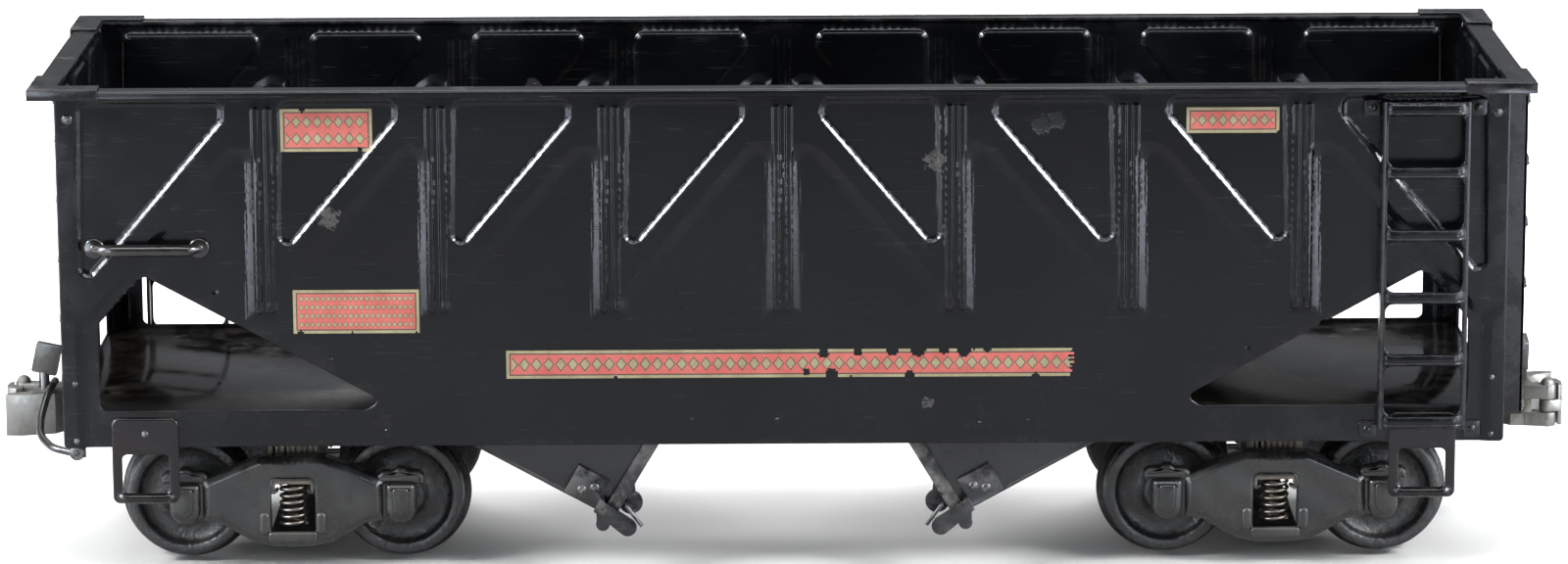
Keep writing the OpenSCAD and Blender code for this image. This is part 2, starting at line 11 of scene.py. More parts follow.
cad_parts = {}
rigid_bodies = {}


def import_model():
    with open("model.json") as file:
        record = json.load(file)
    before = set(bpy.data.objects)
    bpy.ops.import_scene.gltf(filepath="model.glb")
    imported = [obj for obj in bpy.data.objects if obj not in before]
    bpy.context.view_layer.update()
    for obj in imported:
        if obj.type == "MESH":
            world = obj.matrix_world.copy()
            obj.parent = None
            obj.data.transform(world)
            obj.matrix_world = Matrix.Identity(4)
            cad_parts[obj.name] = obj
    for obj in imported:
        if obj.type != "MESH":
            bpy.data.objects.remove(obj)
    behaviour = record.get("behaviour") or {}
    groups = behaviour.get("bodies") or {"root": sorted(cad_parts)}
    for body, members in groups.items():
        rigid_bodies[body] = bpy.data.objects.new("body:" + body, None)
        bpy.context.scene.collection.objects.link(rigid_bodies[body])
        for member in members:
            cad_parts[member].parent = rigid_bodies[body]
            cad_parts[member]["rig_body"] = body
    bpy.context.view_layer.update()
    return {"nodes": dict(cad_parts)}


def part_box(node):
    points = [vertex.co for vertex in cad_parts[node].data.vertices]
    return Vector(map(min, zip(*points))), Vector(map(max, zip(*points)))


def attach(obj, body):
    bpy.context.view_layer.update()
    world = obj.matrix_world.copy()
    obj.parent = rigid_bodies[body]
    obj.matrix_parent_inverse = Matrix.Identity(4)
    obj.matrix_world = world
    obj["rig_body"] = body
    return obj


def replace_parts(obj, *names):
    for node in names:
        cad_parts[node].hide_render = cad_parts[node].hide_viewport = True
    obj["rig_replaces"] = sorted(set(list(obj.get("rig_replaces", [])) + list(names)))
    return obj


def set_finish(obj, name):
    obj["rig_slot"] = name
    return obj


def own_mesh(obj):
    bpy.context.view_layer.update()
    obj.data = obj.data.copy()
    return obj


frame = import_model()

MM = 0.001
HALF_TURN = Matrix.Rotation(math.pi, 4, "Z")
ENDS = {"a": -1, "b": 1}
X, Y, Z = Vector((1, 0, 0)), Vector((0, 1, 0)), Vector((0, 0, 1))


# ---- Mesh helpers. Shapes are drawn in millimetres and become metres in piece() ----

def piece(name, points, faces, body, nodes, slot, material, angle=35, normals=None, floats=None):
    """A new mesh piece that rides a body and stands for the CAD nodes."""
    mesh = bpy.data.meshes.new(name)
    mesh.from_pydata([tuple(np.array(p, float) * MM) for p in points], [], [tuple(f) for f in faces])
    mesh.validate()
    mesh.polygons.foreach_set("use_smooth", [True] * len(mesh.polygons))
    mesh.set_sharp_from_angle(angle=math.radians(angle))
    for key, values in (floats or {}).items():
        mesh.attributes.new(key, "FLOAT", "POINT").data.foreach_set("value", np.array(values, np.float32))
    if normals is not None:
        mesh.normals_split_custom_set(normals)
    return finish_piece(linked(name, mesh), body, nodes, slot, material)


def linked(name, data):
    """A new object in the scene that shows the data."""
    obj = bpy.data.objects.new(name, data)
    bpy.context.scene.collection.objects.link(obj)
    return obj


def finish_piece(obj, body, nodes, slot, material):
    obj.data.materials.clear()
    obj.data.materials.append(material)
    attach(obj, body)
    if nodes:
        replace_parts(obj, *nodes)
    if slot:
        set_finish(obj, slot)
    return obj


def turned(source, name, body, nodes):
    """The same piece at the other end of the car: half a turn about the car's middle."""
    obj = source.copy()
    obj.data = source.data.copy()
    obj.name = name
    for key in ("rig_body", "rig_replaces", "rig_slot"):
        if key in obj:
            del obj[key]
    obj.parent = None
    obj.matrix_world = Matrix.Identity(4)
    obj.data.transform(HALF_TURN)
    bpy.context.scene.collection.objects.link(obj)
    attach(obj, body)
    if nodes:
        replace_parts(obj, *nodes)
    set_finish(obj, source["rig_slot"])
    return obj


def softened(node, body, width, slot, material, segments=2, angle=30):
    """A copy of a CAD node's mesh with its sharp edges rounded, which stands for the node."""
    mesh = frame["nodes"][node].data.copy()
    mesh.name = node + "_soft"
    b = bmesh.new()
    b.from_mesh(mesh)
    bmesh.ops.remove_doubles(b, verts=b.verts, dist=2e-6)
    bmesh.ops.dissolve_degenerate(b, edges=b.edges, dist=5e-6)
    bmesh.ops.dissolve_limit(b, angle_limit=math.radians(0.6), verts=b.verts, edges=b.edges)
    b.to_mesh(mesh)
    b.free()
    mesh.polygons.foreach_set("use_smooth", [True] * len(mesh.polygons))
    obj = linked(node + "_soft", mesh)
    bevel = obj.modifiers.new("round", "BEVEL")
    bevel.width = width * MM
    bevel.segments = segments
    bevel.limit_method = "ANGLE"
    bevel.angle_limit = math.radians(angle)
    bevel.use_clamp_overlap = True
    bevel.harden_normals = True
    bevel.miter_outer = "MITER_ARC"
    return finish_piece(obj, body, [node], slot, material)


def lathe(profile, steps, centre, axis):
    """Points and faces of a closed profile of (radius, along) pairs turned about an axis."""
    axis = Vector(axis).normalized()
    side = axis.orthogonal().normalized()
    other = axis.cross(side)
    points, faces = [], []
    count = len(profile)
    for i in range(steps):
        a = 2 * math.pi * i / steps
        out = side * math.cos(a) + other * math.sin(a)
        points += [Vector(centre) + out * r + axis * h for r, h in profile]
    for i in range(steps):
        j = (i + 1) % steps
        for k in range(count - 1):
            faces.append((i * count + k, j * count + k, j * count + k + 1, i * count + k + 1))
    return points, faces


def tube(path, radius, sides=14, closed_ends=True):
    """Points and faces of a round wire along a path; radius may be one number or one per point."""
    path = [Vector(p) for p in path]
    radii = radius if hasattr(radius, "__len__") else [radius] * len(path)
    points, faces = [], []
    tangent = (path[1] - path[0]).normalized()
    side = tangent.orthogonal().normalized()
    for i, p in enumerate(path):
        ahead = path[min(i + 1, len(path) - 1)] - path[max(i - 1, 0)]
        tangent = ahead.normalized()
        side = (side - tangent * side.dot(tangent)).normalized()
        other = tangent.cross(side)
        for j in range(sides):
            a = 2 * math.pi * j / sides
            points.append(p + (side * math.cos(a) + other * math.sin(a)) * radii[i])
    for i in range(len(path) - 1):
        for j in range(sides):
            k = (j + 1) % sides
            faces.append((i * sides + j, i * sides + k, (i + 1) * sides + k, (i + 1) * sides + j))
    if closed_ends:
        faces.append(tuple(range(sides - 1, -1, -1)))
        faces.append(tuple((len(path) - 1) * sides + j for j in range(sides)))
    return points, faces


def rounded_path(corners, radius, steps=6):
    """A path of straight stretches whose inner corners are rounded."""
    corners = [Vector(c) for c in corners]
    path = [corners[0]]
    for before, corner, after in zip(corners, corners[1:], corners[2:]):
        reach = min(radius, (before - corner).length * 0.45, (after - corner).length * 0.45)
        a = corner + (before - corner).normalized() * reach
        b = corner + (after - corner).normalized() * reach
        for i in range(steps + 1):
            t = i / steps
            path.append(a * (1 - t) ** 2 + corner * 2 * t * (1 - t) + b * t * t)
    path.append(corners[-1])
    return path


def joined(*shapes):
    """Several (points, faces) shapes as one."""
    points, faces = [], []
    for p, f in shapes:
        start = len(points)
        points += list(p)
        faces += [tuple(start + i for i in face) for face in f]
    return points, faces


def mapped(shape, origin, u, v, w):
    """A shape drawn in local (u, v, w) placed in the car's frame."""
    points, faces = shape
    flip = Vector(u).cross(Vector(v)).dot(Vector(w)) < 0
    placed = [Vector(origin) + Vector(u) * p[0] + Vector(v) * p[1] + Vector(w) * p[2] for p in points]
    return placed, [tuple(reversed(f)) for f in faces] if flip else faces


def slab(corners, z0, z1, round_by=0.0, steps=3):
    """A plate of the given anticlockwise outline between two heights, with its upper edge rounded."""
    outline = np.array(corners, float)
    count = len(outline)
    levels = [(0.0, z0)]
    for i in range(steps + 1 if round_by > 0 else 1):
        a = math.pi / 2 * i / steps if round_by > 0 else 0
        levels.append((round_by * (1 - math.cos(a)), z1 - round_by * (1 - math.sin(a))))
    points, faces = [], []
    for inset, z in levels:
        points += [(p[0], p[1], z) for p in inset_outline(outline, inset)]
    for k in range(len(levels) - 1):
        for i in range(count):
            j = (i + 1) % count
            faces.append((k * count + i, k * count + j, (k + 1) * count + j, (k + 1) * count + i))
    faces.append(tuple(range(count - 1, -1, -1)))
    faces.append(tuple((len(levels) - 1) * count + i for i in range(count)))
    return points, faces


def unit(rows):
    """The same rows, each of length 1."""
    return rows / np.linalg.norm(rows, axis=1)[:, None]


def inset_outline(outline, inset):
    """An anticlockwise outline moved inwards by a small distance."""
    before = outline - np.roll(outline, 1, 0)
    after = np.roll(outline, -1, 0) - outline
    n0 = unit(np.stack([-before[:, 1], before[:, 0]], 1))
    n1 = unit(np.stack([-after[:, 1], after[:, 0]], 1))
    middle = n0 + n1
    scale = np.maximum((middle * n0).sum(1), 0.4)[:, None]
    return outline + middle / scale * inset


def round_corners(corners, radius, steps=5):
    """An outline whose corners are arcs; radius is one number or one per corner."""
    radii = radius if hasattr(radius, "__len__") else [radius] * len(corners)
    ring = [Vector((c[0], c[1], 0)) for c in corners]
    out = []
    for i, corner in enumerate(ring):
        before, after = ring[i - 1], ring[(i + 1) % len(ring)]
        to_before, to_after = (before - corner).normalized(), (after - corner).normalized()
        half = to_before.angle(to_after) / 2
        room = min((before - corner).length, (after - corner).length) * 0.49
        reach = min(radii[i] / math.tan(half), room)
        if reach < 0.02 or half > 1.56:
            out.append((corner.x, corner.y))
            continue
        middle = (to_before + to_after).normalized()
        centre = corner + middle * reach / math.cos(half)
        a, b = corner + to_before * reach - centre, corner + to_after * reach - centre
        turn = a.angle(b)
        for k in range(steps + 1):
            t = k / steps
            p = centre + (a * math.sin((1 - t) * turn) + b * math.sin(t * turn)) / math.sin(turn)
            out.append((p.x, p.y))
    return out


def rectangle(u0, v0, u1, v1):
    return [(u0, v0), (u1, v0), (u1, v1), (u0, v1)]


# ---- Pressed sheets: a height over a flat outline, meshed in rows along each pressed edge ----

def smooth(t):
    t = np.clip(t, 0, 1)
    return t * t * (3 - 2 * t)


def blended(fields, reach):
    """The union of several distance fields with filleted inner corners."""
    def field(q):
        d = fields[0](q)
        for f in fields[1:]:
            e = f(q)
            h = np.clip(0.5 + 0.5 * (e - d) / reach, 0, 1)
            d = e * (1 - h) + d * h - reach * h * (1 - h)
        return d
    return field


def segment(a, b):
    """Distance to a straight line between two points."""
    a, b = np.array(a, float), np.array(b, float)
    d = b - a

    def field(q):
        t = np.clip(((q - a) @ d) / (d @ d), 0, 1)
        return np.linalg.norm(q - a - t[:, None] * d, axis=1)
    return field


def gradient(f, q, step=0.02):
    du = f(q + [step, 0]) - f(q - [step, 0])
    dv = f(q + [0, step]) - f(q - [0, step])
    return np.stack([du, dv], 1) / (2 * step)


def along(corners, spacing, closed=True):
    """Points along an outline at about the given spacing."""
    p = np.array(corners, float)
    ends = np.roll(p, -1, 0) if closed else p[1:]
    out = []
    for a, b in zip(p, ends):
        n = max(1, round(float(np.linalg.norm(b - a)) / spacing))
        out += [a + (b - a) * i / n for i in range(n)]
    if not closed:
        out.append(p[-1])
    return np.array(out)


def thinned(points, gap, taken=None):
    """The points that lie at least gap apart, first come first kept."""
    cells, kept = {}, []
    for q in (taken if taken is not None else []):
        cells.setdefault((int(q[0] // gap), int(q[1] // gap)), []).append(q)
    for q in points:
        i, j = int(q[0] // gap), int(q[1] // gap)
        near = (c for a in (i - 1, i, i + 1) for b in (j - 1, j, j + 1) for c in cells.get((a, b), []))
        if all((c[0] - q[0]) ** 2 + (c[1] - q[1]) ** 2 >= gap * gap for c in near):
            cells.setdefault((i, j), []).append(q)
            kept.append(q)
    return np.array(kept).reshape(-1, 2)


def edge_rows(field, outlines, levels, spacing):
    """Aligned rows of points on both sides of a field's zero line."""
    q = np.concatenate([along(o, spacing * 0.5) for o in outlines])
    start = q.copy()
    for _ in range(4):
        g = gradient(field, q)
        q = q - g * (field(q) / np.maximum((g * g).sum(1), 0.2))[:, None]
    good = (np.abs(field(q)) < 0.02) & (np.linalg.norm(q - start, axis=1) < 4)
    q = thinned(q[good], spacing)
    n = gradient(field, q)
    n /= np.maximum(np.linalg.norm(n, axis=1), 1e-6)[:, None]
    rows = np.concatenate([q + n * k for k in levels])
    wanted = np.repeat(levels, len(q))
    rows = rows[np.abs(field(rows) - wanted) < 0.08]
    low, high = q.min(0) - 2, q.max(0) + 2
    across, up = np.arange(low[0], high[0], 0.5), np.arange(low[1], high[1], 0.5)
    fill = np.stack(np.meshgrid(across, up), -1).reshape(-1, 2)
    fill = fill[np.abs(field(fill)) < 1.1]
    return np.concatenate([rows, thinned(fill, 0.5, rows)])


def pressed_sheet(outer, holes, height, rows, thickness, grid, base_drop=0.35, edge=0.5):
    """Triangles of a pressed sheet: (points, faces, per-loop normals, wear) in local (u, v, w).

    outer and holes are outlines, height gives w over points, and rows are extra points along the
    pressed edges. The sheet's front edges are rounded over by base_drop."""
    outline_field = loop_field(outer)
    hole_fields = [loop_field(h) for h in holes]

    def inside(q):
        d = outline_field(q)
        for f in hole_fields:
            d = np.maximum(d, -f(q))
        return d

    def front(q):
        d = np.clip(1 + inside(q) / edge, 0, 1)
        return height(q) - base_drop * (1 - np.sqrt(np.maximum(0, 1 - d * d)))

    loops = [along(o, grid / 2) for o in [outer] + list(holes)]
    near_edge = []
    for loop, sign in zip(loops, [1] + [-1] * len(holes)):
        for inset in (0.25 * edge, 0.6 * edge, 1.1 * edge):
            near_edge.append(inset_outline(loop, inset * sign))
    near_edge = np.concatenate(near_edge)
    near_edge = near_edge[inside(near_edge) < -0.15 * edge]
    rows = rows[inside(rows) < -1.3 * edge] if len(rows) else np.zeros((0, 2))
    fixed = np.concatenate(loops + [near_edge, rows])
    low, high = np.array(outer).min(0), np.array(outer).max(0)
    coarse = np.array([(u, v) for u in np.arange(low[0] + grid / 2, high[0], grid)
                       for v in np.arange(low[1] + grid / 2, high[1], grid)])
    coarse = coarse[inside(coarse) < -grid * 0.4]
    coarse = thinned(coarse, grid * 0.45, fixed)
    q = np.concatenate([fixed, coarse])
    edges, start = [], 0
    for loop in loops:
        edges += [(start + i, start + (i + 1) % len(loop)) for i in range(len(loop))]
        start += len(loop)
    verts, _, tris, _, _, _ = delaunay_2d_cdt([Vector(p) for p in q], edges, [], 0, 1e-4, False)
    q = np.array([tuple(v) for v in verts])
    tris = np.array([t for t in tris if len(t) == 3])
    centre = q[tris].mean(1)
    area = np.cross(q[tris[:, 1]] - q[tris[:, 0]], q[tris[:, 2]] - q[tris[:, 0]])
    tris = tris[(inside(centre) < 0) & (np.abs(area) > 1e-5)]
    used = np.unique(tris)
    order = -np.ones(len(q), int)
    order[used] = np.arange(len(used))
    q, tris = q[used], order[tris]
    w = front(q)
    flat = np.ones((len(q), 1))
    normal = unit(np.concatenate([-gradient(front, q, 0.03), flat], 1))
    back_normal = -unit(np.concatenate([-gradient(height, q, 0.03), flat], 1))
    n = len(q)
    points = np.concatenate([np.column_stack([q, w]), np.column_stack([q, height(q) - thickness])])
    rim = open_edges(tris)
    faces = [tuple(t) for t in tris] + [(a + n, c + n, b + n) for a, b, c in tris]
    faces += [(b, a, a + n, b + n) for a, b in rim]
    loops_n = [normal[i] for t in tris for i in t]
    loops_n += [back_normal[i] for a, b, c in tris for i in (a, c, b)]
    for a, b in rim:
        side = (q[b] - q[a]) / max(np.linalg.norm(q[b] - q[a]), 1e-9)
        loops_n += [np.array([side[1], -side[0], 0.0])] * 4
    return points, faces, loops_n, np.concatenate([edge_wear(front, q)] * 2)


def open_edges(faces):
    """The edges that only one face has, in that face's direction."""
    loops = [tuple(f) for f in faces]
    edges = dict.fromkeys(e for f in loops for e in zip(f, f[1:] + f[:1]))
    return [(a, b) for a, b in edges if (b, a) not in edges]


def edge_wear(front, q, reach=0.8):
    """How far a point stands proud of the sheet round it, 0 to 1."""
    ring = [(reach, 0), (-reach, 0), (0, reach), (0, -reach)]
    level = sum(front(q + np.array(r)) for r in ring) / 4
    return np.clip((front(q) - level) / 0.25, 0, 1)


def loop_field(corners):
    """Signed distance to any simple outline, negative inside it."""
    p = np.array(corners, float)
    r = np.roll(p, -1, 0)

    def field(q):
        best = np.full(len(q), 1e9)
        inside = np.zeros(len(q), bool)
        for a, b in zip(p, r):
            d = b - a
            t = np.clip(((q - a) @ d) / max(d @ d, 1e-12), 0, 1)
            best = np.minimum(best, np.linalg.norm(q - a - t[:, None] * d, axis=1))
            crosses = (a[1] > q[:, 1]) != (b[1] > q[:, 1])
            with np.errstate(divide="ignore", invalid="ignore"):
                x = a[0] + (q[:, 1] - a[1]) / (b[1] - a[1]) * (b[0] - a[0])
            inside ^= crosses & (q[:, 0] < x)
        return np.where(inside, -best, best)
    return field


def sheet_piece(name, sheet, origin, u, v, body, nodes, slot, material):
    """A pressed sheet placed in the car's frame, with its own smooth normals."""
    points, faces, normals, wear = sheet
    u, v = Vector(u), Vector(v)
    turn = np.array([u, v, u.cross(v)])
    placed = np.array(points) @ turn + np.array(origin, float)
    bent = [tuple(n) for n in np.array(normals) @ turn]
    return piece(name, placed, faces, body, nodes, slot, material, 180, bent, {"wear": wear})


# ---- Materials ----

class Nodes:
    """Short calls for building one material's nodes."""

    def __init__(self, name):
        self.material = bpy.data.materials.new(name)
        self.material.use_nodes = True
        self.tree = self.material.node_tree
        self.shader = self.tree.nodes["Principled BSDF"]
        self.place = self.add("ShaderNodeTexCoord").outputs["Object"]

    def add(self, kind, inputs=None, **settings):
        node = self.tree.nodes.new(kind)
        for key, value in settings.items():
            setattr(node, key, value)
        for key, value in (inputs or {}).items():
            self.put(node.inputs[key], value)
        return node

    def put(self, socket, value):
        if isinstance(value, bpy.types.NodeSocket):
            self.tree.links.new(value, socket)
        else:
            socket.default_value = value

    def math(self, operation, a, b=0.0, clamp=False):
        return self.add("ShaderNodeMath", {0: a, 1: b}, operation=operation, use_clamp=clamp).outputs[0]

    def times(self, a, b, clamp=False):
        return self.math("MULTIPLY", a, b, clamp)

    def plus(self, a, b, clamp=False):
        return self.math("ADD", a, b, clamp)

    def minus(self, a, b):
        return self.math("SUBTRACT", a, b)

    def noise(self, scale, detail=4.0, roughness=0.6, stretch=None, turn=(0, 0, 0), distortion=0.0):
        place = self.place
        if stretch:
            place = self.add("ShaderNodeMapping", {
                "Vector": place, "Rotation": turn, "Scale": stretch}).outputs[0]
        return self.add("ShaderNodeTexNoise", {
            "Vector": place, "Scale": scale, "Detail": detail, "Roughness": roughness,
            "Distortion": distortion}).outputs["Fac"]

    def ramp(self, value, low, high, to_low=0.0, to_high=1.0):
        return self.add("ShaderNodeMapRange", {
            "Value": value, "From Min": low, "From Max": high, "To Min": to_low, "To Max": to_high},
            interpolation_type="SMOOTHSTEP").outputs[0]

    def mix(self, amount, a, b):
        return self.add("ShaderNodeMix", {0: amount, 6: a, 7: b}, data_type="RGBA").outputs[2]

    def bump(self, height, strength, distance, below=None):
        inputs = {"Height": height, "Strength": strength, "Distance": distance * MM}
        if below is not None:
            inputs["Normal"] = below
        return self.add("ShaderNodeBump", inputs).outputs[0]

    def wear(self):
        return self.add("ShaderNodeAttribute", attribute_name="wear").outputs["Fac"]

    def pointed(self, low=0.52, high=0.6):
        return self.ramp(self.add("ShaderNodeNewGeometry").outputs["Pointiness"], low, high)

    def facing_up(self):
        normal = self.add("ShaderNodeNewGeometry").outputs["Normal"]
        return self.ramp(self.add("ShaderNodeSeparateXYZ", {0: normal}).outputs[2], 0.2, 0.95)


def colour(r, g, b):
    return (r, g, b, 1.0)


def spot(n, centre, radius, ragged=0.5):
    """1 inside a ragged patch round a point of the surface, in millimetres."""
    distance = n.add("ShaderNodeVectorMath", {0: n.place, 1: [c * MM for c in centre]},
                     operation="DISTANCE").outputs["Value"]
    ragged_by = n.times(n.minus(n.noise(420, 3, 0.7), 0.5), radius * ragged * 4 * MM)
    return n.ramp(n.plus(distance, ragged_by), radius * MM, radius * 0.8 * MM)


def enamel(name, base, lift, rough, dust=0.35, dust_colour=(0.055, 0.05, 0.04), shine=0.5,
           scratched=1.0, worn=0.5, worn_colour=(0.11, 0.1, 0.09), flakes=(), scuffs=(), peel=0.05,
           sheet=False):
    """Aged stoved enamel: soft mottling, hairline scratches, dust and rubbed edges."""
    n = Nodes(name)
    cloud = n.noise(16, 5, 0.55)
    mottle = n.noise(95, 6, 0.65)
    grit = n.noise(700, 4, 0.7)
    turns = [(0, 0.03, 0), (0, -0.12, 0.1)] if sheet else [(0, 0.35, 0), (0.5, 0.9, 0.3)]
    hairs = [n.ramp(n.noise(5, 2, 0.5, (9, 9, 230), turn), 0.64, 0.72) for turn in turns]
    hair = n.math("MAXIMUM", hairs[0], hairs[1])
    hair = n.times(hair, n.ramp(mottle, 0.42, 0.62))
    dusty = n.times(n.ramp(n.noise(38, 8, 0.7), 0.5, 0.72), n.ramp(grit, 0.4, 0.62))
    dusty = n.times(dusty, n.plus(n.facing_up(), 0.35), True)
    edges = n.wear() if sheet else n.pointed()
    rubbed = n.times(edges, n.ramp(mottle, 0.42, 0.6))
    body = n.mix(n.ramp(cloud, 0.3, 0.75), colour(*base), colour(*lift))
    body = n.mix(n.times(dusty, dust), body, colour(*dust_colour))
    body = n.mix(n.times(hair, 0.22 * scratched), body, colour(0.12, 0.12, 0.12))
    body = n.mix(n.times(rubbed, worn), body, colour(*worn_colour))
    sheen = n.ramp(n.plus(n.times(cloud, 0.6), n.times(mottle, 0.4)),
                   0.3, 0.7, rough - 0.07, rough + 0.1)
    sheen = n.plus(sheen, n.times(dusty, 0.35 * dust))
    sheen = n.plus(sheen, n.times(n.math("MAXIMUM", hair, rubbed), 0.12))
    relief = n.plus(n.times(n.noise(260, 3, 0.5), peel), n.times(hair, -0.02))
    for centre, radius in flakes:
        patch = spot(n, centre, radius)
        body = n.mix(patch, body, colour(0.004, 0.004, 0.004))
        sheen = n.plus(sheen, n.times(patch, 0.4))
        relief = n.minus(relief, n.times(patch, 0.35))
    for centre, radius in scuffs:
        patch = n.times(spot(n, centre, radius, 0.8), n.ramp(grit, 0.35, 0.6))
        body = n.mix(n.times(patch, 0.6), body, colour(0.11, 0.1, 0.09))
        sheen = n.plus(sheen, n.times(patch, 0.3))
        relief = n.minus(relief, n.times(patch, 0.2))
    n.put(n.shader.inputs["Base Color"], body)
    n.put(n.shader.inputs["Roughness"], sheen)
    n.shader.inputs["Specular IOR Level"].default_value = shine
    n.shader.inputs["Specular Tint"].default_value = colour(0.93, 0.94, 1)
    soft = n.bump(n.noise(24, 2, 0.5), 0.5, 0.35)
    n.put(n.shader.inputs["Normal"], n.bump(relief, 1.0, 0.6, soft))
    return n.material


def metal(name, base, dark, rough, metallic=1.0, grime=0.5, grime_colour=(0.05, 0.045, 0.035),
          cast=0.3, cast_scale=420, tan=0.0, tan_colour=(0.24, 0.18, 0.1)):
    """Bare or thinly coated metal with a cast or drawn skin, grime and settled dust."""
    n = Nodes(name)
    cloud = n.noise(60, 6, 0.65)
    grain = n.noise(cast_scale, 5, 0.65)
    grimy = n.ramp(n.minus(n.noise(120, 7, 0.7), n.times(n.pointed(), 0.25)), 0.42, 0.66)
    tone = n.mix(n.ramp(cloud, 0.3, 0.7), colour(*base), colour(*dark))
    tone = n.mix(n.times(grimy, grime), tone, colour(*grime_colour))
    settled = n.times(n.ramp(n.noise(90, 6, 0.7), 0.38, 0.62), n.plus(n.facing_up(), 0.45), True)
    tone = n.mix(n.times(settled, tan), tone, colour(*tan_colour))
    n.put(n.shader.inputs["Base Color"], tone)
    shell = n.times(grimy, 0.3 * grime)
    sheen = n.plus(n.ramp(cloud, 0.3, 0.7, rough - 0.08, rough + 0.1), shell)
    n.put(n.shader.inputs["Roughness"], n.plus(sheen, n.times(settled, 0.4 * tan), True))
    if metallic in (0.0, 1.0) and tan == 0:
        n.shader.inputs["Metallic"].default_value = metallic
    else:
        bare = n.times(n.minus(1.0, n.times(settled, tan)), metallic)
        n.put(n.shader.inputs["Metallic"], bare)
    n.put(n.shader.inputs["Normal"], n.bump(grain, cast, 0.5, n.bump(cloud, 0.3, 0.5)))
    return n.material


# The near side's marks lie on the plane of the side sheet
SIDE_Y = 70.85
FLAKES = [((89.8, -SIDE_Y, 160.5), 3.4), ((94.3, -SIDE_Y, 161.6), 3.2), ((-92, SIDE_Y, 150), 3.0),
          ((30, SIDE_Y, 131), 2.2)]
SCUFFS = [((52.7, -72, 147.5), 3.6), ((-157, -SIDE_Y, 129), 4.0), ((50, -72, 62), 2.6), ((-60, 72, 120), 4.2),
          ((140, SIDE_Y, 70), 3.4)]
M = {
    "black_enamel": enamel("black_enamel", (0.0022, 0.0025, 0.003), (0.005, 0.006, 0.0075), 0.17, dust=0.1,
                           shine=0.22, scratched=0.35, flakes=FLAKES, scuffs=SCUFFS, sheet=True, worn=0.12),
    "rim_enamel": enamel("rim_enamel", (0.003, 0.0032, 0.0036), (0.007, 0.0074, 0.008), 0.2, dust=0.15,
                         shine=0.28, worn=0.12, worn_colour=(0.06, 0.06, 0.062)),
    "floor_enamel": enamel("floor_enamel", (0.003, 0.0026, 0.0024), (0.007, 0.0056, 0.0044), 0.11, dust=0.12,
                           dust_colour=(0.07, 0.055, 0.036), shine=0.3),
    "inner_enamel": enamel("inner_enamel", (0.010, 0.010, 0.011), (0.026, 0.024, 0.022), 0.33, dust=0.7,
                           dust_colour=(0.085, 0.075, 0.055), scratched=2.0),
    "worn_enamel": enamel("worn_enamel", (0.004, 0.0037, 0.0035), (0.012, 0.009, 0.0075), 0.15, dust=0.1,
                          worn=0.4, worn_colour=(0.22, 0.19, 0.16), scratched=1.5),
    "dark_enamel": enamel("dark_enamel", (0.006, 0.0065, 0.0075), (0.013, 0.0135, 0.015), 0.24, dust=0.3,
                          worn=0.7, worn_colour=(0.25, 0.24, 0.22), scratched=1.2),
    "step_enamel": enamel("step_enamel", (0.004, 0.003, 0.003), (0.011, 0.006, 0.0055), 0.18, dust=0.12,
                          shine=0.3, worn=0.4, worn_colour=(0.22, 0.21, 0.2)),
    "cast_black": metal("cast_black", (0.012, 0.0125, 0.014), (0.007, 0.0075, 0.008), 0.27, 0.0, 0.3,
                        grime_colour=(0.016, 0.0145, 0.012), cast=0.12, tan=0.1,
                        tan_colour=(0.1, 0.08, 0.06)),
    "dusty_steel": metal("dusty_steel", (0.13, 0.115, 0.095), (0.06, 0.052, 0.043), 0.5, 0.4, 0.5, tan=0.75,
                         tan_colour=(0.2, 0.155, 0.095)),
    "dusty_black": metal("dusty_black", (0.03, 0.03, 0.031), (0.016, 0.016, 0.0165), 0.34, 0.15, 0.4,
                         cast=0.2, grime_colour=(0.02, 0.018, 0.014),
                         tan=0.35, tan_colour=(0.085, 0.07, 0.048)),
    "spring_steel": metal("spring_steel", (0.12, 0.115, 0.11), (0.06, 0.056, 0.052), 0.3, 1.0, 0.5, tan=0.25,
                          tan_colour=(0.2, 0.15, 0.09)),
    "wheel_iron": metal("wheel_iron", (0.028, 0.028, 0.03), (0.014, 0.014, 0.015), 0.27, 0.25, 0.5,
                        grime_colour=(0.016, 0.014, 0.011), cast=1.0, cast_scale=460),
    "axle_steel": metal("axle_steel", (0.35, 0.34, 0.32), (0.2, 0.19, 0.17), 0.35, grime=0.7),
    "coupler_metal": metal("coupler_metal", (0.2, 0.2, 0.19), (0.12, 0.118, 0.11), 0.44, 0.7, 0.75,
                           grime_colour=(0.07, 0.06, 0.045), cast=0.4),
    "lock_metal": metal("lock_metal", (0.08, 0.08, 0.082), (0.05, 0.05, 0.048), 0.42, 0.8, 0.7, cast=0.35),
}


# ---- Body: pressed sides and ends ----

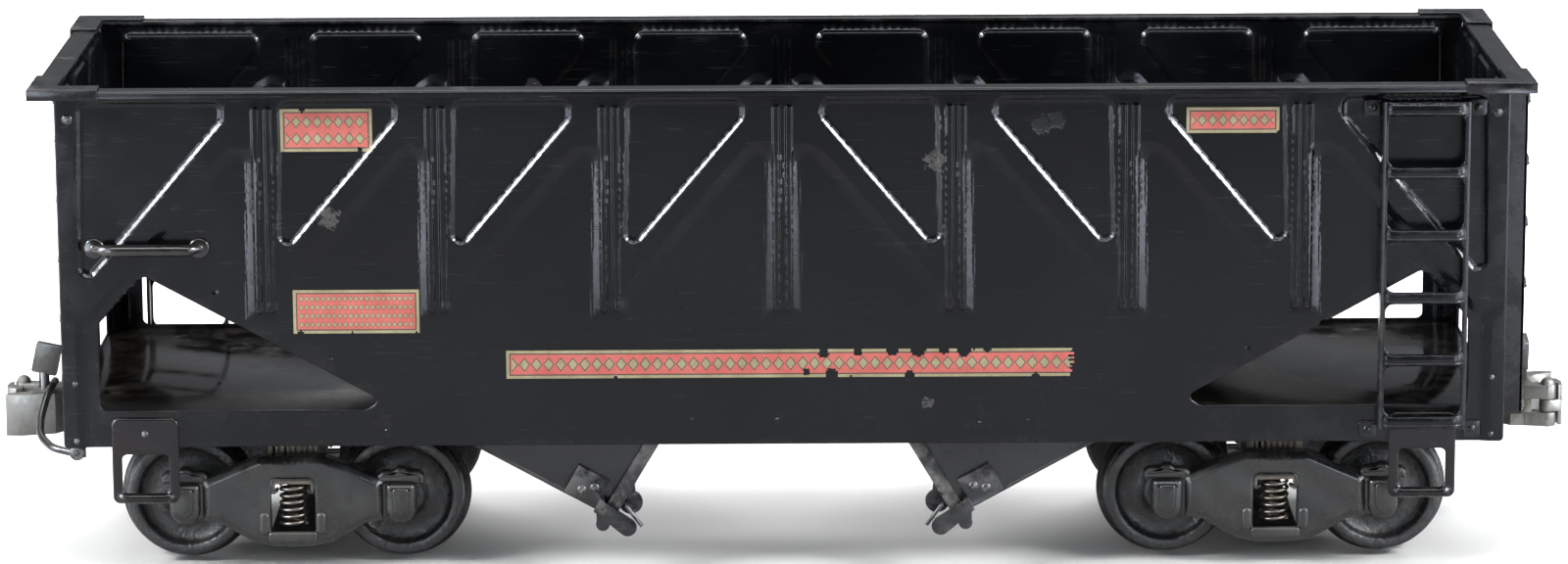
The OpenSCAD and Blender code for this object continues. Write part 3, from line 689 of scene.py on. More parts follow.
SHEET = 1.2
PRESS = 1.2
SILL_Z, SHEET_TOP = 47.0, 173.3
END_X = 251.5
BAY, POST_W, FOOT_Z, HEADER_Z = 60.0, 13.0, 92.0, 169.4
CORNER_X = 243.1
BRACE_SLOPE, BRACE_W, BRACE_FOOT = 1.14, 16.0, (11.4, 123.2)
BEAD_GAP, BEAD_R, BEAD_TOP = 2.2, 1.55, 166.6
BEAD_H, BEAD_FLANK, BEAD_FOOT = 0.72, 0.85, FOOT_Z + 4
EDGE = 0.8                                    # half the width of a pressed edge
EDGE_LEVELS = np.array([-1.8, -1.0, -0.8, -0.4, 0.0, 0.4, 0.8, 1.0, 1.8])
LIP, LIP_R = 0.11, 0.42                       # the small ridge left along a pressed edge's foot
SLOPE = math.tan(math.radians(28.7))
APEX = (222.3, 108.3)                         # top corner of a window
DENTS = [(-158, 78.6, 1.1, 0.5), (161.9, 81.1, 1.3, 0.5), (-197.6, 102.7, 1.6, 0.35), (-32.1, 56.5, 0.9, 0.5),
         (-2.3, 56.4, 0.9, 0.5), (68.6, 54.9, 0.9, 0.5), (85.4, 55.6, 0.8, 0.4), (-139.3, 53.1, 0.9, 0.5)]


def slope_x(z):
    return APEX[0] - (APEX[1] - z) / SLOPE


def rounded_field(corners, radius):
    """Distance to a convex outline whose outer corners are rounded."""
    inner = loop_field(inset_outline(np.array(corners, float), radius))
    return lambda q: inner(q) - radius


def mirror_x(corners):
    return [(-u, v) for u, v in reversed(corners)]


FLANK = 3.7                                   # width of the slope round the low field
LOW_HALF = 6.9                                # from a post's middle to the low field
FLANK_LEVELS = np.array([-0.8, -0.42, -0.2, 0.0, 0.2, 0.42, 1.2, 2.3, 3.3, 3.8, 4.6])
HOOK = 6.3                                    # upright stretch at the top end of a brace's edge


def brace_line(x0):
    """Height of the upper edge of the brace that climbs from the post at x0, on the left half."""
    return lambda x: BRACE_FOOT[1] + BRACE_SLOPE * (x - x0 - BRACE_FOOT[0])


def crisp_fields():
    """The sharply pressed triangles above the braces."""
    shapes = []
    for i in range(1, 5):
        x0 = -i * BAY
        upper = brace_line(x0)
        left = x0 + POST_W / 2 if i < 4 else -CORNER_X
        top_x = x0 + BRACE_FOOT[0] + (HEADER_Z - HOOK - BRACE_FOOT[1]) / BRACE_SLOPE
        shapes.append([(left, HEADER_Z), (left, upper(left)), (top_x, HEADER_Z - HOOK), (top_x, HEADER_Z)])
    return shapes + [mirror_x(o) for o in shapes]


def low_fields():
    """The softly pressed field below the braces and between the posts' lower ends."""
    shapes = []
    for i in range(1, 5):
        x0 = -i * BAY
        upper = brace_line(x0)
        left = x0 + LOW_HALF if i < 4 else -CORNER_X
        right = x0 + BAY - LOW_HALF
        shapes.append([(left, FOOT_Z - 9), (right, FOOT_Z - 9), (right, upper(right - BRACE_W)),
                       (left, max(upper(left - BRACE_W), FOOT_Z - 8))])
    shapes += [mirror_x(o) for o in shapes]
    shapes.append(rectangle(-CORNER_X, SILL_Z - 20, CORNER_X, FOOT_Z))
    return shapes


def side_relief(crisp, low):
    """0 on the base sheet and 1 on the raised bands."""
    def relief(q):
        d, e = crisp(q), low(q)
        t = np.clip((d + EDGE) / (2 * EDGE), 0, 1)
        sharp = 0.7 * t + 0.3 * smooth(t)
        t = np.clip(e / FLANK, 0, 1)
        lip = LIP / PRESS * (smooth(1 - np.abs(d + EDGE) / LIP_R) + smooth(1 - np.abs(e) / LIP_R))
        return np.minimum(sharp, 0.75 * t + 0.25 * smooth(t)) + lip
    return relief


def pressed_height(relief, beads, dents=(), sway=0.06):
    """Height over the base sheet: raised bands, beads on them, small dents and a slight sway."""
    def height(q):
        h = PRESS * relief(q)
        for bead in beads:
            h = h + BEAD_H * smooth((BEAD_R - bead(q)) / BEAD_FLANK)
        for u, v, r, deep in dents:
            h = h - deep * smooth(1 - np.hypot(q[:, 0] - u, q[:, 1] - v) / r)
        return h + sway * (np.sin(q[:, 0] / 23 + 1.7) * np.sin(q[:, 1] / 17 + 0.6)
                           + 0.6 * np.sin(q[:, 0] / 11 + q[:, 1] / 31)) - 1.6 * sway
    return height


def bead_rows(u, v0, v1, spacing=3.0):
    steps = np.linspace(v0, v1, int((v1 - v0) / spacing) + 1)
    across = BEAD_R * np.array([-1.1, -1, -0.86, -0.72, -0.58, -0.45, 0, 0.45, 0.58, 0.72, 0.86, 1, 1.1])
    rows = [(u + a, v) for v in steps for a in across]
    for end, sign in ((v0, -1), (v1, 1)):
        rows += [(u + r * BEAD_R * math.sin(a), end + sign * r * BEAD_R * math.cos(a))
                 for r in (0.45, 0.65, 0.85, 1, 1.1) for a in np.linspace(-1.4, 1.4, 9)]
    return np.array(rows)


def dent_rows(dents):
    return [(u + r * k * math.cos(a), v + r * k * math.sin(a)) for u, v, r, _ in dents
            for k in (0, 0.35, 0.7, 1) for a in np.linspace(0, 2 * math.pi, 9 if k else 2)[:-1]]


def side_panel():
    crisp = blended([rounded_field(o, 2.9) for o in crisp_fields()], 0.01)
    low = blended([rounded_field(o, 3.2) for o in low_fields()[:-1]] + [loop_field(low_fields()[-1])], 1.2)
    posts = [BAY * i + s * BEAD_GAP for i in range(-3, 4) for s in (-1, 1)]
    beads = [segment((u, BEAD_FOOT), (u, BEAD_TOP)) for u in posts]
    height = pressed_height(side_relief(crisp, low), beads, DENTS)
    rows = [edge_rows(crisp, crisp_fields(), EDGE_LEVELS, 2.0)]
    rows += [bead_rows(u, BEAD_FOOT, BEAD_TOP) for u in posts] + [np.array(dent_rows(DENTS))]
    rows.append(edge_rows(low, low_fields(), FLANK_LEVELS, 2.4))
    window = [(145.5, 60), (238.5, 60), (238.5, 91), APEX, (slope_x(63.5), 63.5)]
    windows = [round_corners(w, 2.2) for w in (window, mirror_x(window))]
    outer = round_corners(rectangle(-END_X, SILL_Z, END_X, SHEET_TOP), [1.5, 1.5, 0.4, 0.4])
    return height, pressed_sheet(outer, windows, height, thinned(np.concatenate(rows), 0.16), SHEET, 7.0)


side_height, side_mesh = side_panel()
near = sheet_piece("side_near", side_mesh, (0, -SIDE_Y, 0), X, Z, "carbody", ["side_panel_near"],
                   "black_enamel", M["black_enamel"])
turned(near, "side_far", "carbody", ["side_panel_far"])

END_POST_Y, END_OPENING_Y = 23.0, 61.5


def end_panel():
    inner = SIDE_Y - SHEET
    opening_top = APEX[1] + (END_X - SHEET - APEX[0]) * SLOPE
    outlines = [rectangle(-inner - 9, HEADER_Z, inner + 9, SHEET_TOP + 9)]
    outlines += [rectangle(u - POST_W / 2, opening_top + 4, u + POST_W / 2, SHEET_TOP)
                 for u in (-END_POST_Y, END_POST_Y)]
    raised = blended([rounded_field(o, 2.0) for o in outlines], 4.5)
    posts = [s * END_POST_Y + t * BEAD_GAP for s in (-1, 1) for t in (-1, 1)]
    beads = [segment((u, opening_top + 8), (u, HEADER_Z - 3)) for u in posts]
    height = pressed_height(lambda q: 1 - smooth((raised(q) + EDGE) / (2 * EDGE)), beads)
    rows = [edge_rows(raised, outlines, EDGE_LEVELS, 2.0)]
    rows += [bead_rows(u, opening_top + 8, HEADER_Z - 3) for u in posts]
    foot, gate = SILL_Z + 1.3, END_OPENING_Y
    outer = round_corners([(-inner, foot), (-gate, foot), (-gate, opening_top), (gate, opening_top),
                           (gate, foot), (inner, foot), (inner, SHEET_TOP), (-inner, SHEET_TOP)],
                          [0.6, 0.6, 4, 4, 0.6, 0.6, 0.3, 0.3])
    return pressed_sheet(outer, [], height, thinned(np.concatenate(rows), 0.16), SHEET, 6.0)


end_b = sheet_piece("end_b", end_panel(), (END_X, 0, 0), Y, Z, "carbody", ["end_panel_b"], "black_enamel",
                    M["black_enamel"])
turned(end_b, "end_a", "carbody", ["end_panel_a"])


# ---- Top rim ----

def ring(profile, half_x, half_y, corner=1.5, steps=4):
    """A closed profile of (outward, up) pairs carried round a rectangle with rounded corners."""
    points, faces, count = [], [], len(profile)
    corners = [(1, -1), (1, 1), (-1, 1), (-1, -1)]
    stations = []
    for k, (sx, sy) in enumerate(corners):
        for i in range(steps + 1):
            a = math.radians(-90 + 90 * k + 90 * i / steps)
            stations.append((sx, sy, math.cos(a), math.sin(a)))
    for sx, sy, c, s in stations:
        for out, up in profile:
            reach = max(out, 0)
            r = min(corner, reach)
            points.append((sx * (half_x + reach - r) + c * r, sy * (half_y + reach - r) + s * r, up))
    total = len(stations)
    for i in range(total):
        j = (i + 1) % total
        for k in range(count):
            m = (k + 1) % count
            faces.append((i * count + k, j * count + k, j * count + m, i * count + m))
    return points, faces


RIM_REACH, RIM_TOP, RIM_DROP, RIM_R = 7 + 1.2, 174.5, 2.6, 1.1


def rim_profile():
    """Outward from the sheet's inner face: a flat top, a rounded edge and a turned-down lip."""
    wide, top, low = RIM_REACH, RIM_TOP, RIM_TOP - RIM_DROP
    arc = [(wide - RIM_R + RIM_R * math.sin(a), top - RIM_R + RIM_R * math.cos(a))
           for a in np.linspace(0, math.pi / 2, 6)]
    inner = [(0.0, SHEET_TOP), (0.0, top - 0.5), (0.15, top - 0.15), (0.5, top)]
    lip = [(wide, low + 0.3), (wide - 0.3, low), (wide - 0.9, low), (wide - SHEET, low + 0.3),
           (wide - SHEET, SHEET_TOP)]
    return inner + arc + lip


low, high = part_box("top_rim")
rim_shape = ring(rim_profile(), END_X - SHEET, SIDE_Y - SHEET)
rim_stretch = high.x / MM / (END_X - SHEET + RIM_REACH)
rim_points = [(x * rim_stretch if abs(x) > END_X else x, y, z) for x, y, z in rim_shape[0]]
piece("rim", rim_points, rim_shape[1], "carbody", ["top_rim"], "black_enamel", M["rim_enamel"], 40)


# ---- Ladders, steps, grab irons ----

RUNG_PITCH, RUNGS, RUNG_HALF, LADDER_HALF = 22.1, 6, 2.1, 15.15
RUNG_LIP, RUNG_LIP_R = 1.3, 0.6                # the bead along a rung's lower edge
RAIL = 1.8                                    # width of a ladder's rail beside the holes
POST_Y = SIDE_Y + PRESS                       # outer face of the corner posts
LADDER_X, END_LADDER_Y = 222.15, 27.4
STEP_X, STEP_BAR_Z = 223.15, 28.9


def ladder_sheet(z_top):
    levels = [z_top - i * RUNG_PITCH for i in range(RUNGS)]
    bottom = levels[-1]
    outer = round_corners(rectangle(-LADDER_HALF, bottom - 2.7, LADDER_HALF, z_top + 2.7), 1.2)
    hole_half = LADDER_HALF - RAIL
    holes = [round_corners(rectangle(-hole_half, b + RUNG_HALF, hole_half, a - RUNG_HALF), 3.0)
             for a, b in zip(levels, levels[1:])]

    def height(q):
        h = np.zeros(len(q))
        for z in levels:
            across = np.clip(np.abs(q[:, 1] - z) / (RUNG_HALF + 0.3), 0, 1)
            lip = 0.45 * smooth(1 - np.abs(q[:, 1] - z + RUNG_LIP) / RUNG_LIP_R)
            ends = smooth((LADDER_HALF - 1.2 - np.abs(q[:, 0])) / 2.5)
            h = h + (1.3 * np.sqrt(np.maximum(1 - across ** 2, 0)) + lip) * ends
        return np.minimum(h, 1.75) - 0.25
    rows = [(u, z + k) for z in levels for u in np.linspace(-14.2, 14.2, 24)
            for k in (-1.9, -1.6, -1.3, -1, -0.7, 0, 0.7, 1.4, 1.9)]
    return pressed_sheet(outer, holes, height, np.array(rows), 0.9, 3.0, 0.25, 0.35)


def ladder(name, z_top, face, foot, foot_low, inner_low, nodes, origin_u, u):
    """A ladder's pressed face, and a second piece for its two flanges and four screwed feet."""
    out = u.cross(Z)
    material = M["black_enamel"]
    sheet_piece(name + "_face", ladder_sheet(z_top), u * origin_u + out * face, u, Z, "carbody", [nodes],
                "black_enamel", material)
    bottom = z_top - (RUNGS - 1) * RUNG_PITCH
    shapes = []
    for s in (-1, 1):
        plate = slab(rectangle(bottom - 2.7, foot, z_top + 2.7, face - 0.2), 0, SHEET, 0.3)
        edge = origin_u + s * LADDER_HALF - (SHEET if s > 0 else 0)
        shapes.append(mapped(plate, u * edge, Z, out, u))
        for z, base in ((z_top, foot), (foot_low, inner_low)):
            tab = slab(round_corners(rectangle(-3, -3, 3, 3), 1.0), -0.1, 1.0, 0.35)
            at = u * (origin_u + s * (LADDER_HALF + 3)) + Z * z + out * base
            shapes += [mapped(tab, at, u, Z, out), mapped(dome(1.5, 0.7), at + out * 0.9, u, Z, out)]
    points, faces = joined(*shapes)
    piece(name + "_flanges", points, faces, "carbody", [nodes], "black_enamel", M["rim_enamel"], 40)


def dome(radius, height, steps=16, rings=4):
    """A low rivet head standing on the local w axis."""
    profile = [(radius, -0.1)] + [(radius * math.cos(a), height * math.sin(a))
                                  for a in np.linspace(0, math.pi / 2, rings + 1)]
    return lathe([(max(r, 0.001), h) for r, h in profile], steps, (0, 0, 0), (0, 0, 1))


SIDE_LADDER = {"z_top": 166, "face": 78.4, "foot": POST_Y, "foot_low": 51.5, "inner_low": SIDE_Y}
END_LADDER = {"z_top": 163, "face": 261.8, "foot": END_X, "foot_low": 51, "inner_low": END_X}
ladder("ladder_near", nodes="side_ladder_near", origin_u=LADDER_X, u=X, **SIDE_LADDER)
ladder("ladder_far", nodes="side_ladder_far", origin_u=LADDER_X, u=-X, **SIDE_LADDER)
ladder("ladder_b", nodes="end_ladder_b", origin_u=-END_LADDER_Y, u=Y, **END_LADDER)
ladder("ladder_a", nodes="end_ladder_a", origin_u=-END_LADDER_Y, u=-Y, **END_LADDER)


def step_sheet():
    outer = round_corners(rectangle(-11.65, 27, 11.65, 57.5), 2.6)
    hole = round_corners(rectangle(-8.25, 30.6, 8.25, 44.6), 1.9)

    def height(q):
        across = np.abs(q[:, 1] - STEP_BAR_Z) / 1.85
        return 1.45 * np.sqrt(np.maximum(1 - across ** 2, 0)) * smooth((10.4 - np.abs(q[:, 0])) / 2)
    rows = [(u, STEP_BAR_Z + k) for u in np.linspace(-10, 10, 18) for k in (-1.3, -0.8, -0.3, 0.3, 0.8, 1.3)]
    return pressed_sheet(outer, [hole], height, np.array(rows), 1.3, 4.0, 0.45, 0.7)


step = step_sheet()
for name, u, side in (("near_b", X, 1), ("far_a", -X, 1), ("near_a", X, -1), ("far_b", -X, -1)):
    origin = u * side * STEP_X + u.cross(Z) * (SIDE_Y + 1.3)
    sheet_piece("step_" + name, step, origin, u, Z, "carbody", ["stirrup_steps"], "dark_enamel",
                M["step_enamel"])


GRAB_Z, GRAB_OUT, GRAB_FEET = 118.2, 4.4, (-239, -202.6)


def grab_iron():
    z, bar = GRAB_Z, SIDE_Y + GRAB_OUT
    path = [(GRAB_FEET[0], -SIDE_Y - 1.6, z), (-236.6, -bar + 1.6, z), (-234.6, -bar, z)]
    path += [(x, -bar, z) for x in (-232, -228, -220, -213, -209.4, -206.8)]
    path += [(-204.6, -bar + 1.6, z), (GRAB_FEET[1], -SIDE_Y - 1.6, z)]
    radii = [1.3, 1.9, 2.15, 2.2, 2.2, 2.2, 2.2, 2.2, 2.15, 1.9, 1.3]
    shapes = [tube(path, radii, 16)]
    circle = [(3.6 * math.cos(a), 3.6 * math.sin(a)) for a in np.linspace(0, 2 * math.pi, 25)[:-1]]
    for x in GRAB_FEET:
        disc = slab(circle, 0, 1.2, 0.6)
        at = Vector((x, -SIDE_Y, z))
        shapes += [mapped(disc, at, X, Z, -Y), mapped(dome(1.6, 0.8), at - Y * 1.1, X, Z, -Y)]
    return joined(*shapes)


points, faces = grab_iron()
grab = piece("grab_near", points, faces, "carbody", ["grab_iron_near"], "worn_enamel", M["worn_enamel"], 45)
turned(grab, "grab_far", "carbody", ["grab_iron_far"])


# ---- CAD nodes kept in shape, with their edges rounded ----

SOFTENED = [
    ("corner_caps", "carbody", 0.45, "black_enamel", "rim_enamel"),
    ("slope_sheet", "carbody", 0.3, "black_enamel", "inner_enamel"),
    ("hopper_sides", "carbody", 0.35, "black_enamel", "dark_enamel"),
    ("centre_ridge", "carbody", 0.3, "black_enamel", "inner_enamel"),
    ("floor_plate", "carbody", 0.4, "floor_enamel", "floor_enamel"),
    ("end_sill", "carbody", 0.35, "black_enamel", "rim_enamel"),
    ("latch_brackets", "carbody", 0.3, "dark_enamel", "dark_enamel"),
    ("door_hinge_pins", "carbody", 0.2, "axle_steel", "axle_steel"),
    ("body_bolsters", "carbody", 0.4, "black_enamel", "dark_enamel"),
    ("coupler_pockets", "carbody", 0.3, "dark_enamel", "dark_enamel"),
    ("lever_hangers", "carbody", 0.25, "dark_enamel", "dark_enamel"),
    ("bolster", "truck", 0.22, "cast_black", "dusty_steel"),
    ("coupler_head", "coupler", 0.7, "coupler_metal", "coupler_metal"),
    ("knuckle", "knuckle", 0.6, "coupler_metal", "coupler_metal"),
    ("lock_pin", "lock", 0.45, "lock_metal", "lock_metal"),
    ("door", "door", 0.3, "dark_enamel", "dark_enamel"),
]
for node, body, width, slot, paint in SOFTENED:
    for name, rides in ((node, body), (node + "_a", body + "_a"), (node + "_b", body + "_b")):
        if name in frame["nodes"]:
            softened(name, body if body == "carbody" else rides, width, slot, M[paint])


RIVETS = [  # (x, z, face they stand on, radius, height) of one quarter's heads
    (70.9, 30.3, 68.4, 1.7, 0.75), (66.4, 31, 68.4, 1.7, 0.75), (247, 164, POST_Y, 1.9, 0.8),
    (247, 70, POST_Y, 1, 0.45), (247, 49.6, POST_Y, 1, 0.45), (223.15, 52, 72.15, 1.2, 0.6)]


def rivets():
    """Domed heads where the CAD model has its plain ones: on the brackets, corners and steps."""
    shapes = []
    for turn in (1, -1):
        for s in (1, -1):
            for x, z, y, r, h in RIVETS:
                at = Vector((s * x, -turn * y, z))
                shapes.append(mapped(dome(r, h), at, X * turn, Z, -Y * turn))
    return joined(*shapes)


points, faces = rivets()
piece("rivet_heads", points, faces, "carbody", ["rivets"], "dark_enamel", M["dark_enamel"], 60)


# ---- Trucks ----

TRUCK_X, WHEELBASE, AXLE_Z = 173.0, 76.0, 24.0
FRAME_FACE, FRAME_T = 62.0, 6.0
WHEEL_Y = 39.5                                # back of a wheel
JOURNAL_Y, NECK_Y, CAP_Y = 55.5, 55.6, 58     # inner faces of a journal, its neck and the spring cap
SPRING_Y, COIL_R, COIL_WIRE, COIL_TURNS = 57, 4.45, 0.62, 6.5
PLANK_Z = 11.2
FOLD = 2.6                                    # width of the folded edge round a truck's side frame


def side_frame_sheet():
    right = [(11.5, 40.8), (30.6, 32.6), (31.8, 31.4), (31.8, 18), (30.6, 17.4), (25.5, 16.6), (18.3, 12.2),
             (12.9, 9.3), (6, 8)]
    outline = [(-u, v) for u, v in right] + right[::-1]
    radii = [4, 2, 0.8, 0.8, 2, 5, 9, 9, 5]
    outer = round_corners(outline, radii + radii[::-1])
    hole = round_corners(rectangle(-7.9, 13.4, 7.9, 33.4), [0.6, 0.6, 2.6, 2.6])
    border = loop_field(outer)

    def height(q):
        return 0.08 * np.sin(q[:, 0] / 3.1 + q[:, 1] / 2.3) - 1.5 * (1 - smooth(-border(q) / FOLD))
    rows = edge_rows(border, [outer], -FOLD * np.array([0.2, 0.4, 0.6, 0.8, 1, 1.4]), 1.6)
    return pressed_sheet(outer, [hole], height, rows, FRAME_T, 2.2, 0.6, 0.8)


def journal_shape():
    """The box that covers an axle end: a bulging U with a raised lid."""
    outline = round_corners([(-5.4, 31.3), (-5.4, 16.6), (5.4, 16.6), (5.4, 31.3)], [1.6, 5, 5, 1.6], 8)
    lid = round_corners([(-2.9, 29.6), (-2.9, 19.2), (2.9, 19.2), (2.9, 29.6)], [1, 2.8, 2.8, 1], 6)
    return joined(slab(outline, 0, 7.2, 2.6, 6), slab(lid, 6.4, 7.7, 0.8, 4))


def journal_ledge():
    """The dusty shelf over a journal, with the lug at its middle."""
    outline = [(-8.2, 30.6), (8.2, 30.6), (8.2, 33.6), (6.5, 35), (2.8, 35), (1.2, 36.3), (-1.2, 36.3),
               (-2.8, 35), (-6.5, 35), (-8.2, 33.6)]
    return slab(round_corners(outline, 0.7, 3), 0, 4.6, 1.2, 4)


def spring_cap():
    """The bent strip over a spring, with both of its ends curled in."""
    half = [(5.2, 28.9, 0), (7, 27.6, 0), (7.7, 30, 0), (7.2, 32.7, 0)]
    bend = half + [(-u, v, w) for u, v, w in reversed(half)]
    path = rounded_path(bend, 2.4, 5)
    near, far = [], []
    for k, p in enumerate(path):
        ahead = path[min(k + 1, len(path) - 1)] - path[max(k - 1, 0)]
        side = Vector((-ahead.y, ahead.x, 0)).normalized() * 0.5
        near.append(tuple((p + side)[:2]))
        far.append(tuple((p - side)[:2]))
    return slab(far + near[::-1], 0, 3.6, 0.25, 2)


def side_frames(end):
    sign = ENDS[end]
    body = "truck_frame_" + end
    sheet = side_frame_sheet()
    for k, u in (("near", X), ("far", -X)):
        out = u.cross(Z)
        origin = X * (sign * TRUCK_X)
        sheet_piece(f"side_frame_{end}_{k}", sheet, origin + out * FRAME_FACE, u, Z, body,
                    ["side_frames_" + end], "cast_black", M["cast_black"])
        boxes, ledges = [], []
        for s in (-1, 1):
            at = origin + u * (s * WHEELBASE / 2) + out * JOURNAL_Y
            boxes.append(mapped(journal_shape(), at, u, Z, out))
            neck = slab(rectangle(min(s * 29, s * 34), 18, max(s * 29, s * 34), 31), 0, 4.4, 0.5)
            boxes.append(mapped(neck, origin + out * NECK_Y, u, Z, out))
            ledges.append(mapped(journal_ledge(), at, u, Z, out))
        for name, shapes, paint in (("journals", boxes, "cast_black"), ("ledges", ledges, "dusty_black")):
            obj = piece(f"{name}_{end}_{k}", *joined(*shapes), body, ["side_frames_" + end], "cast_black",
                        M[paint], 50)
            outward(obj)
        cap = mapped(spring_cap(), origin + out * CAP_Y, u, Z, out)
        outward(piece(f"spring_cap_{end}_{k}", *cap, "truck_" + end, ["bolster_" + end], "cast_black",
                      M["cast_black"], 40))


def spring_plank(end):
    """The plank under both springs, with a turned-up lip and two tabs at each end."""
    node = "spring_plank_" + end
    low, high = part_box(node)
    reach = high.y / MM
    at = X * (ENDS[end] * TRUCK_X)
    bar = slab(rectangle(-8.2, 4 - reach, 8.2, reach - 4), 0, 2.2, 0.5)
    shapes = [mapped(bar, at + Z * PLANK_Z, X, Y, Z)]
    for u in (X, -X):
        out = u.cross(Z)
        lip = slab(round_corners(rectangle(-8.6, 10.4, 8.6, 13.9), 1.1), 0, 2.0, 0.7, 4)
        shapes.append(mapped(lip, at + out * (reach - 2), u, Z, out))
        for s in (-1, 1):
            tab = slab(round_corners(rectangle(s * 10 - 1.7, 13, s * 10 + 1.7, 21), 1.6), 0, 1.9, 0.9, 4)
            shapes.append(mapped(tab, at + out * (reach - 2.1), u, Z, out))
    outward(piece(node + "_bar", *joined(*shapes), "truck_frame_" + end, [node], "dusty_steel",
                  M["dusty_black"], 40))


def helix(radius, wire, z0, z1, turns, steps=26):
    """A coil spring whose end turns lie flat."""
    path = []
    for i in range(int(turns * steps) + 1):
        t = i / steps
        a = 2 * math.pi * t
        level = np.clip((t - 0.45) / (turns - 0.9), 0, 1)
        path.append((radius * math.cos(a), radius * math.sin(a),
                     z0 + wire + (z1 - z0 - 2 * wire) * (level * 0.96 + 0.04 * t / turns)))
    return tube(path, wire, 10)


def springs(end):
    node = "springs_" + end
    low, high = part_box(node)
    shapes = []
    for s in (-1, 1):
        at = Vector((ENDS[end] * TRUCK_X, s * SPRING_Y, 0))
        shapes.append(mapped(helix(COIL_R, COIL_WIRE, low.z / MM, high.z / MM, COIL_TURNS), at, X, Y, Z))
    points, faces = joined(*shapes)
    obj = piece("coils_" + end, points, faces, "truck_frame_" + end, [node], "spring_steel",
                M["spring_steel"], 60)
    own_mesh(obj)


WHEEL_PROFILE = [  # (radius, outward from the back of the wheel): flange, tread, rim, dished web, hub
    (2.6, 0.6), (6.8, 0.4), (7.6, 2.2), (17.2, 2.4), (18.4, 0.5), (22.4, 0.05), (23.4, 0.25), (24.0, 0.9),
    (23.8, 1.7), (22.7, 2.3), (21.9, 3.2), (21.7, 6.4), (21.45, 10.2), (21.1, 10.75), (20.5, 11.0),
    (18.4, 11.0), (17.75, 10.75), (17.4, 10.1), (16.9, 8.3), (16.0, 7.3), (13.6, 6.7), (10.6, 7.0), (8.6, 8.0),
    (7.6, 9.6),
    (7.0, 10.3), (6.0, 10.6), (2.6, 10.6), (2.6, 0.6)]


def wheels(end, k):
    node = f"wheels_{end}{k}"
    low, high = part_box(node)
    centre_x = (low.x + high.x) / 2 / MM
    shapes = []
    for s in (-1, 1):
        shapes.append(lathe(WHEEL_PROFILE, 96, (centre_x, s * WHEEL_Y, AXLE_Z), (0, s, 0)))
    points, faces = joined(*shapes)
    obj = piece(f"wheelset_{end}{k}_wheels", points, faces, f"wheelset_{end}{k}", [node], "wheel_iron",
                M["wheel_iron"], 50)
    outward(obj)


def outward(obj):
    """Turns every face to look away from the solid it bounds."""
    b = bmesh.new()
    b.from_mesh(obj.data)
    bmesh.ops.recalc_face_normals(b, faces=b.faces)
    b.to_mesh(obj.data)
    b.free()


for end in ENDS:
    side_frames(end)
    springs(end)
    spring_plank(end)
    for k in (1, 2):
        wheels(end, k)
        axle = frame["nodes"][f"axle_{end}{k}"]
        axle.data.materials.clear()
        axle.data.materials.append(M["axle_steel"])


# ---- Couplers' levers and the hopper doors' latch rods ----

LEVER_PIVOT, LEVER_WIRE = (247.5, 66, 44.4), 1.4
LEVER_PATH = [(249.4, 67.4, 44.5), (256.5, 64.5, 45.4), (262, 54, 47), (264, 36, 49.6), (263.5, 19, 54.2),
              (263, 0.5, 54.9)]


def cut_lever():
    wire = tube(rounded_path(LEVER_PATH, 6), LEVER_WIRE, 14)
    knob = lathe([(1.1, 0), (2.2, 0), (2.7, 0.5), (2.7, 2.3), (2.2, 2.8), (1.1, 2.8), (1.1, 0)], 32,
                 LEVER_PIVOT, (0, 1, 0))
    return joined(wire, knob)


lever_b = piece("lever_wire_b", *cut_lever(), "lever_b", ["cut_lever_b"], "dark_enamel", M["dark_enamel"], 50)
outward(lever_b)
turned(lever_b, "lever_wire_a", "lever_a", ["cut_lever_a"])
for end in ENDS:
    softened("latch_rod_" + end, "latch_" + end, 0.15, "dark_enamel", M["dark_enamel"])


# ---- Paper labels, with a plain ornament in place of lettering ----

def label(name, u0, v0, u1, v1, chips=(), torn=0.0, rows=1):
    """A thin label on the near side that follows the sheet, with its coordinates kept for its pattern."""
    gap = 0.7
    rng = random.Random(name)
    blobs = [(u, v, r) for u, v, r in chips]
    blobs += [(rng.uniform(u0, u1), rng.choice((v0, v1)), rng.uniform(0.2, 0.45))
              for _ in range(int((u1 - u0) / 9))]
    us = np.linspace(u0, u1, max(2, int((u1 - u0) / gap)))
    vs = np.linspace(v0, v1, max(2, int((v1 - v0) / gap)))
    q = np.array([(u, v) for v in vs for u in us])
    q += np.array([[rng.uniform(-0.15, 0.15), rng.uniform(-0.15, 0.15)] for _ in q]) * (
        (q[:, :1] > u0) & (q[:, :1] < u1) & (q[:, 1:] > v0) & (q[:, 1:] < v1))
    w = side_height(q)
    wide = len(us)
    faces = []
    for j in range(len(vs) - 1):
        for i in range(wide - 1):
            centre = q[[j * wide + i, j * wide + i + 1, (j + 1) * wide + i, (j + 1) * wide + i + 1]].mean(0)
            away = min((math.hypot(centre[0] - u, centre[1] - v) / r for u, v, r in blobs), default=9)
            ragged = torn and centre[0] > u1 - torn * (0.35 + 0.65 * abs(math.sin(centre[1] * 1.9 + 0.4)))
            if away > 1 and not ragged:
                a = j * wide + i
                faces.append((a, a + 1, a + wide + 1, a + wide))
    n = len(q)
    rim = open_edges(faces)
    points = [(p[0], -SIDE_Y - h - 0.06, p[1]) for p, h in zip(q, w)]
    points += [(p[0], -SIDE_Y - h - 0.01, p[1]) for p, h in zip(q, w)]
    faces += [tuple(i + n for i in reversed(f)) for f in faces]
    faces += [(b, a, a + n, b + n) for a, b in rim]
    u = np.concatenate([q[:, 0] - u0] * 2)
    v = np.concatenate([q[:, 1] - v0] * 2)
    piece(name, points, faces, "carbody", [], None, label_paint(name, u1 - u0, v1 - v0, rows), 40, None,
          {"across": u, "up": v})


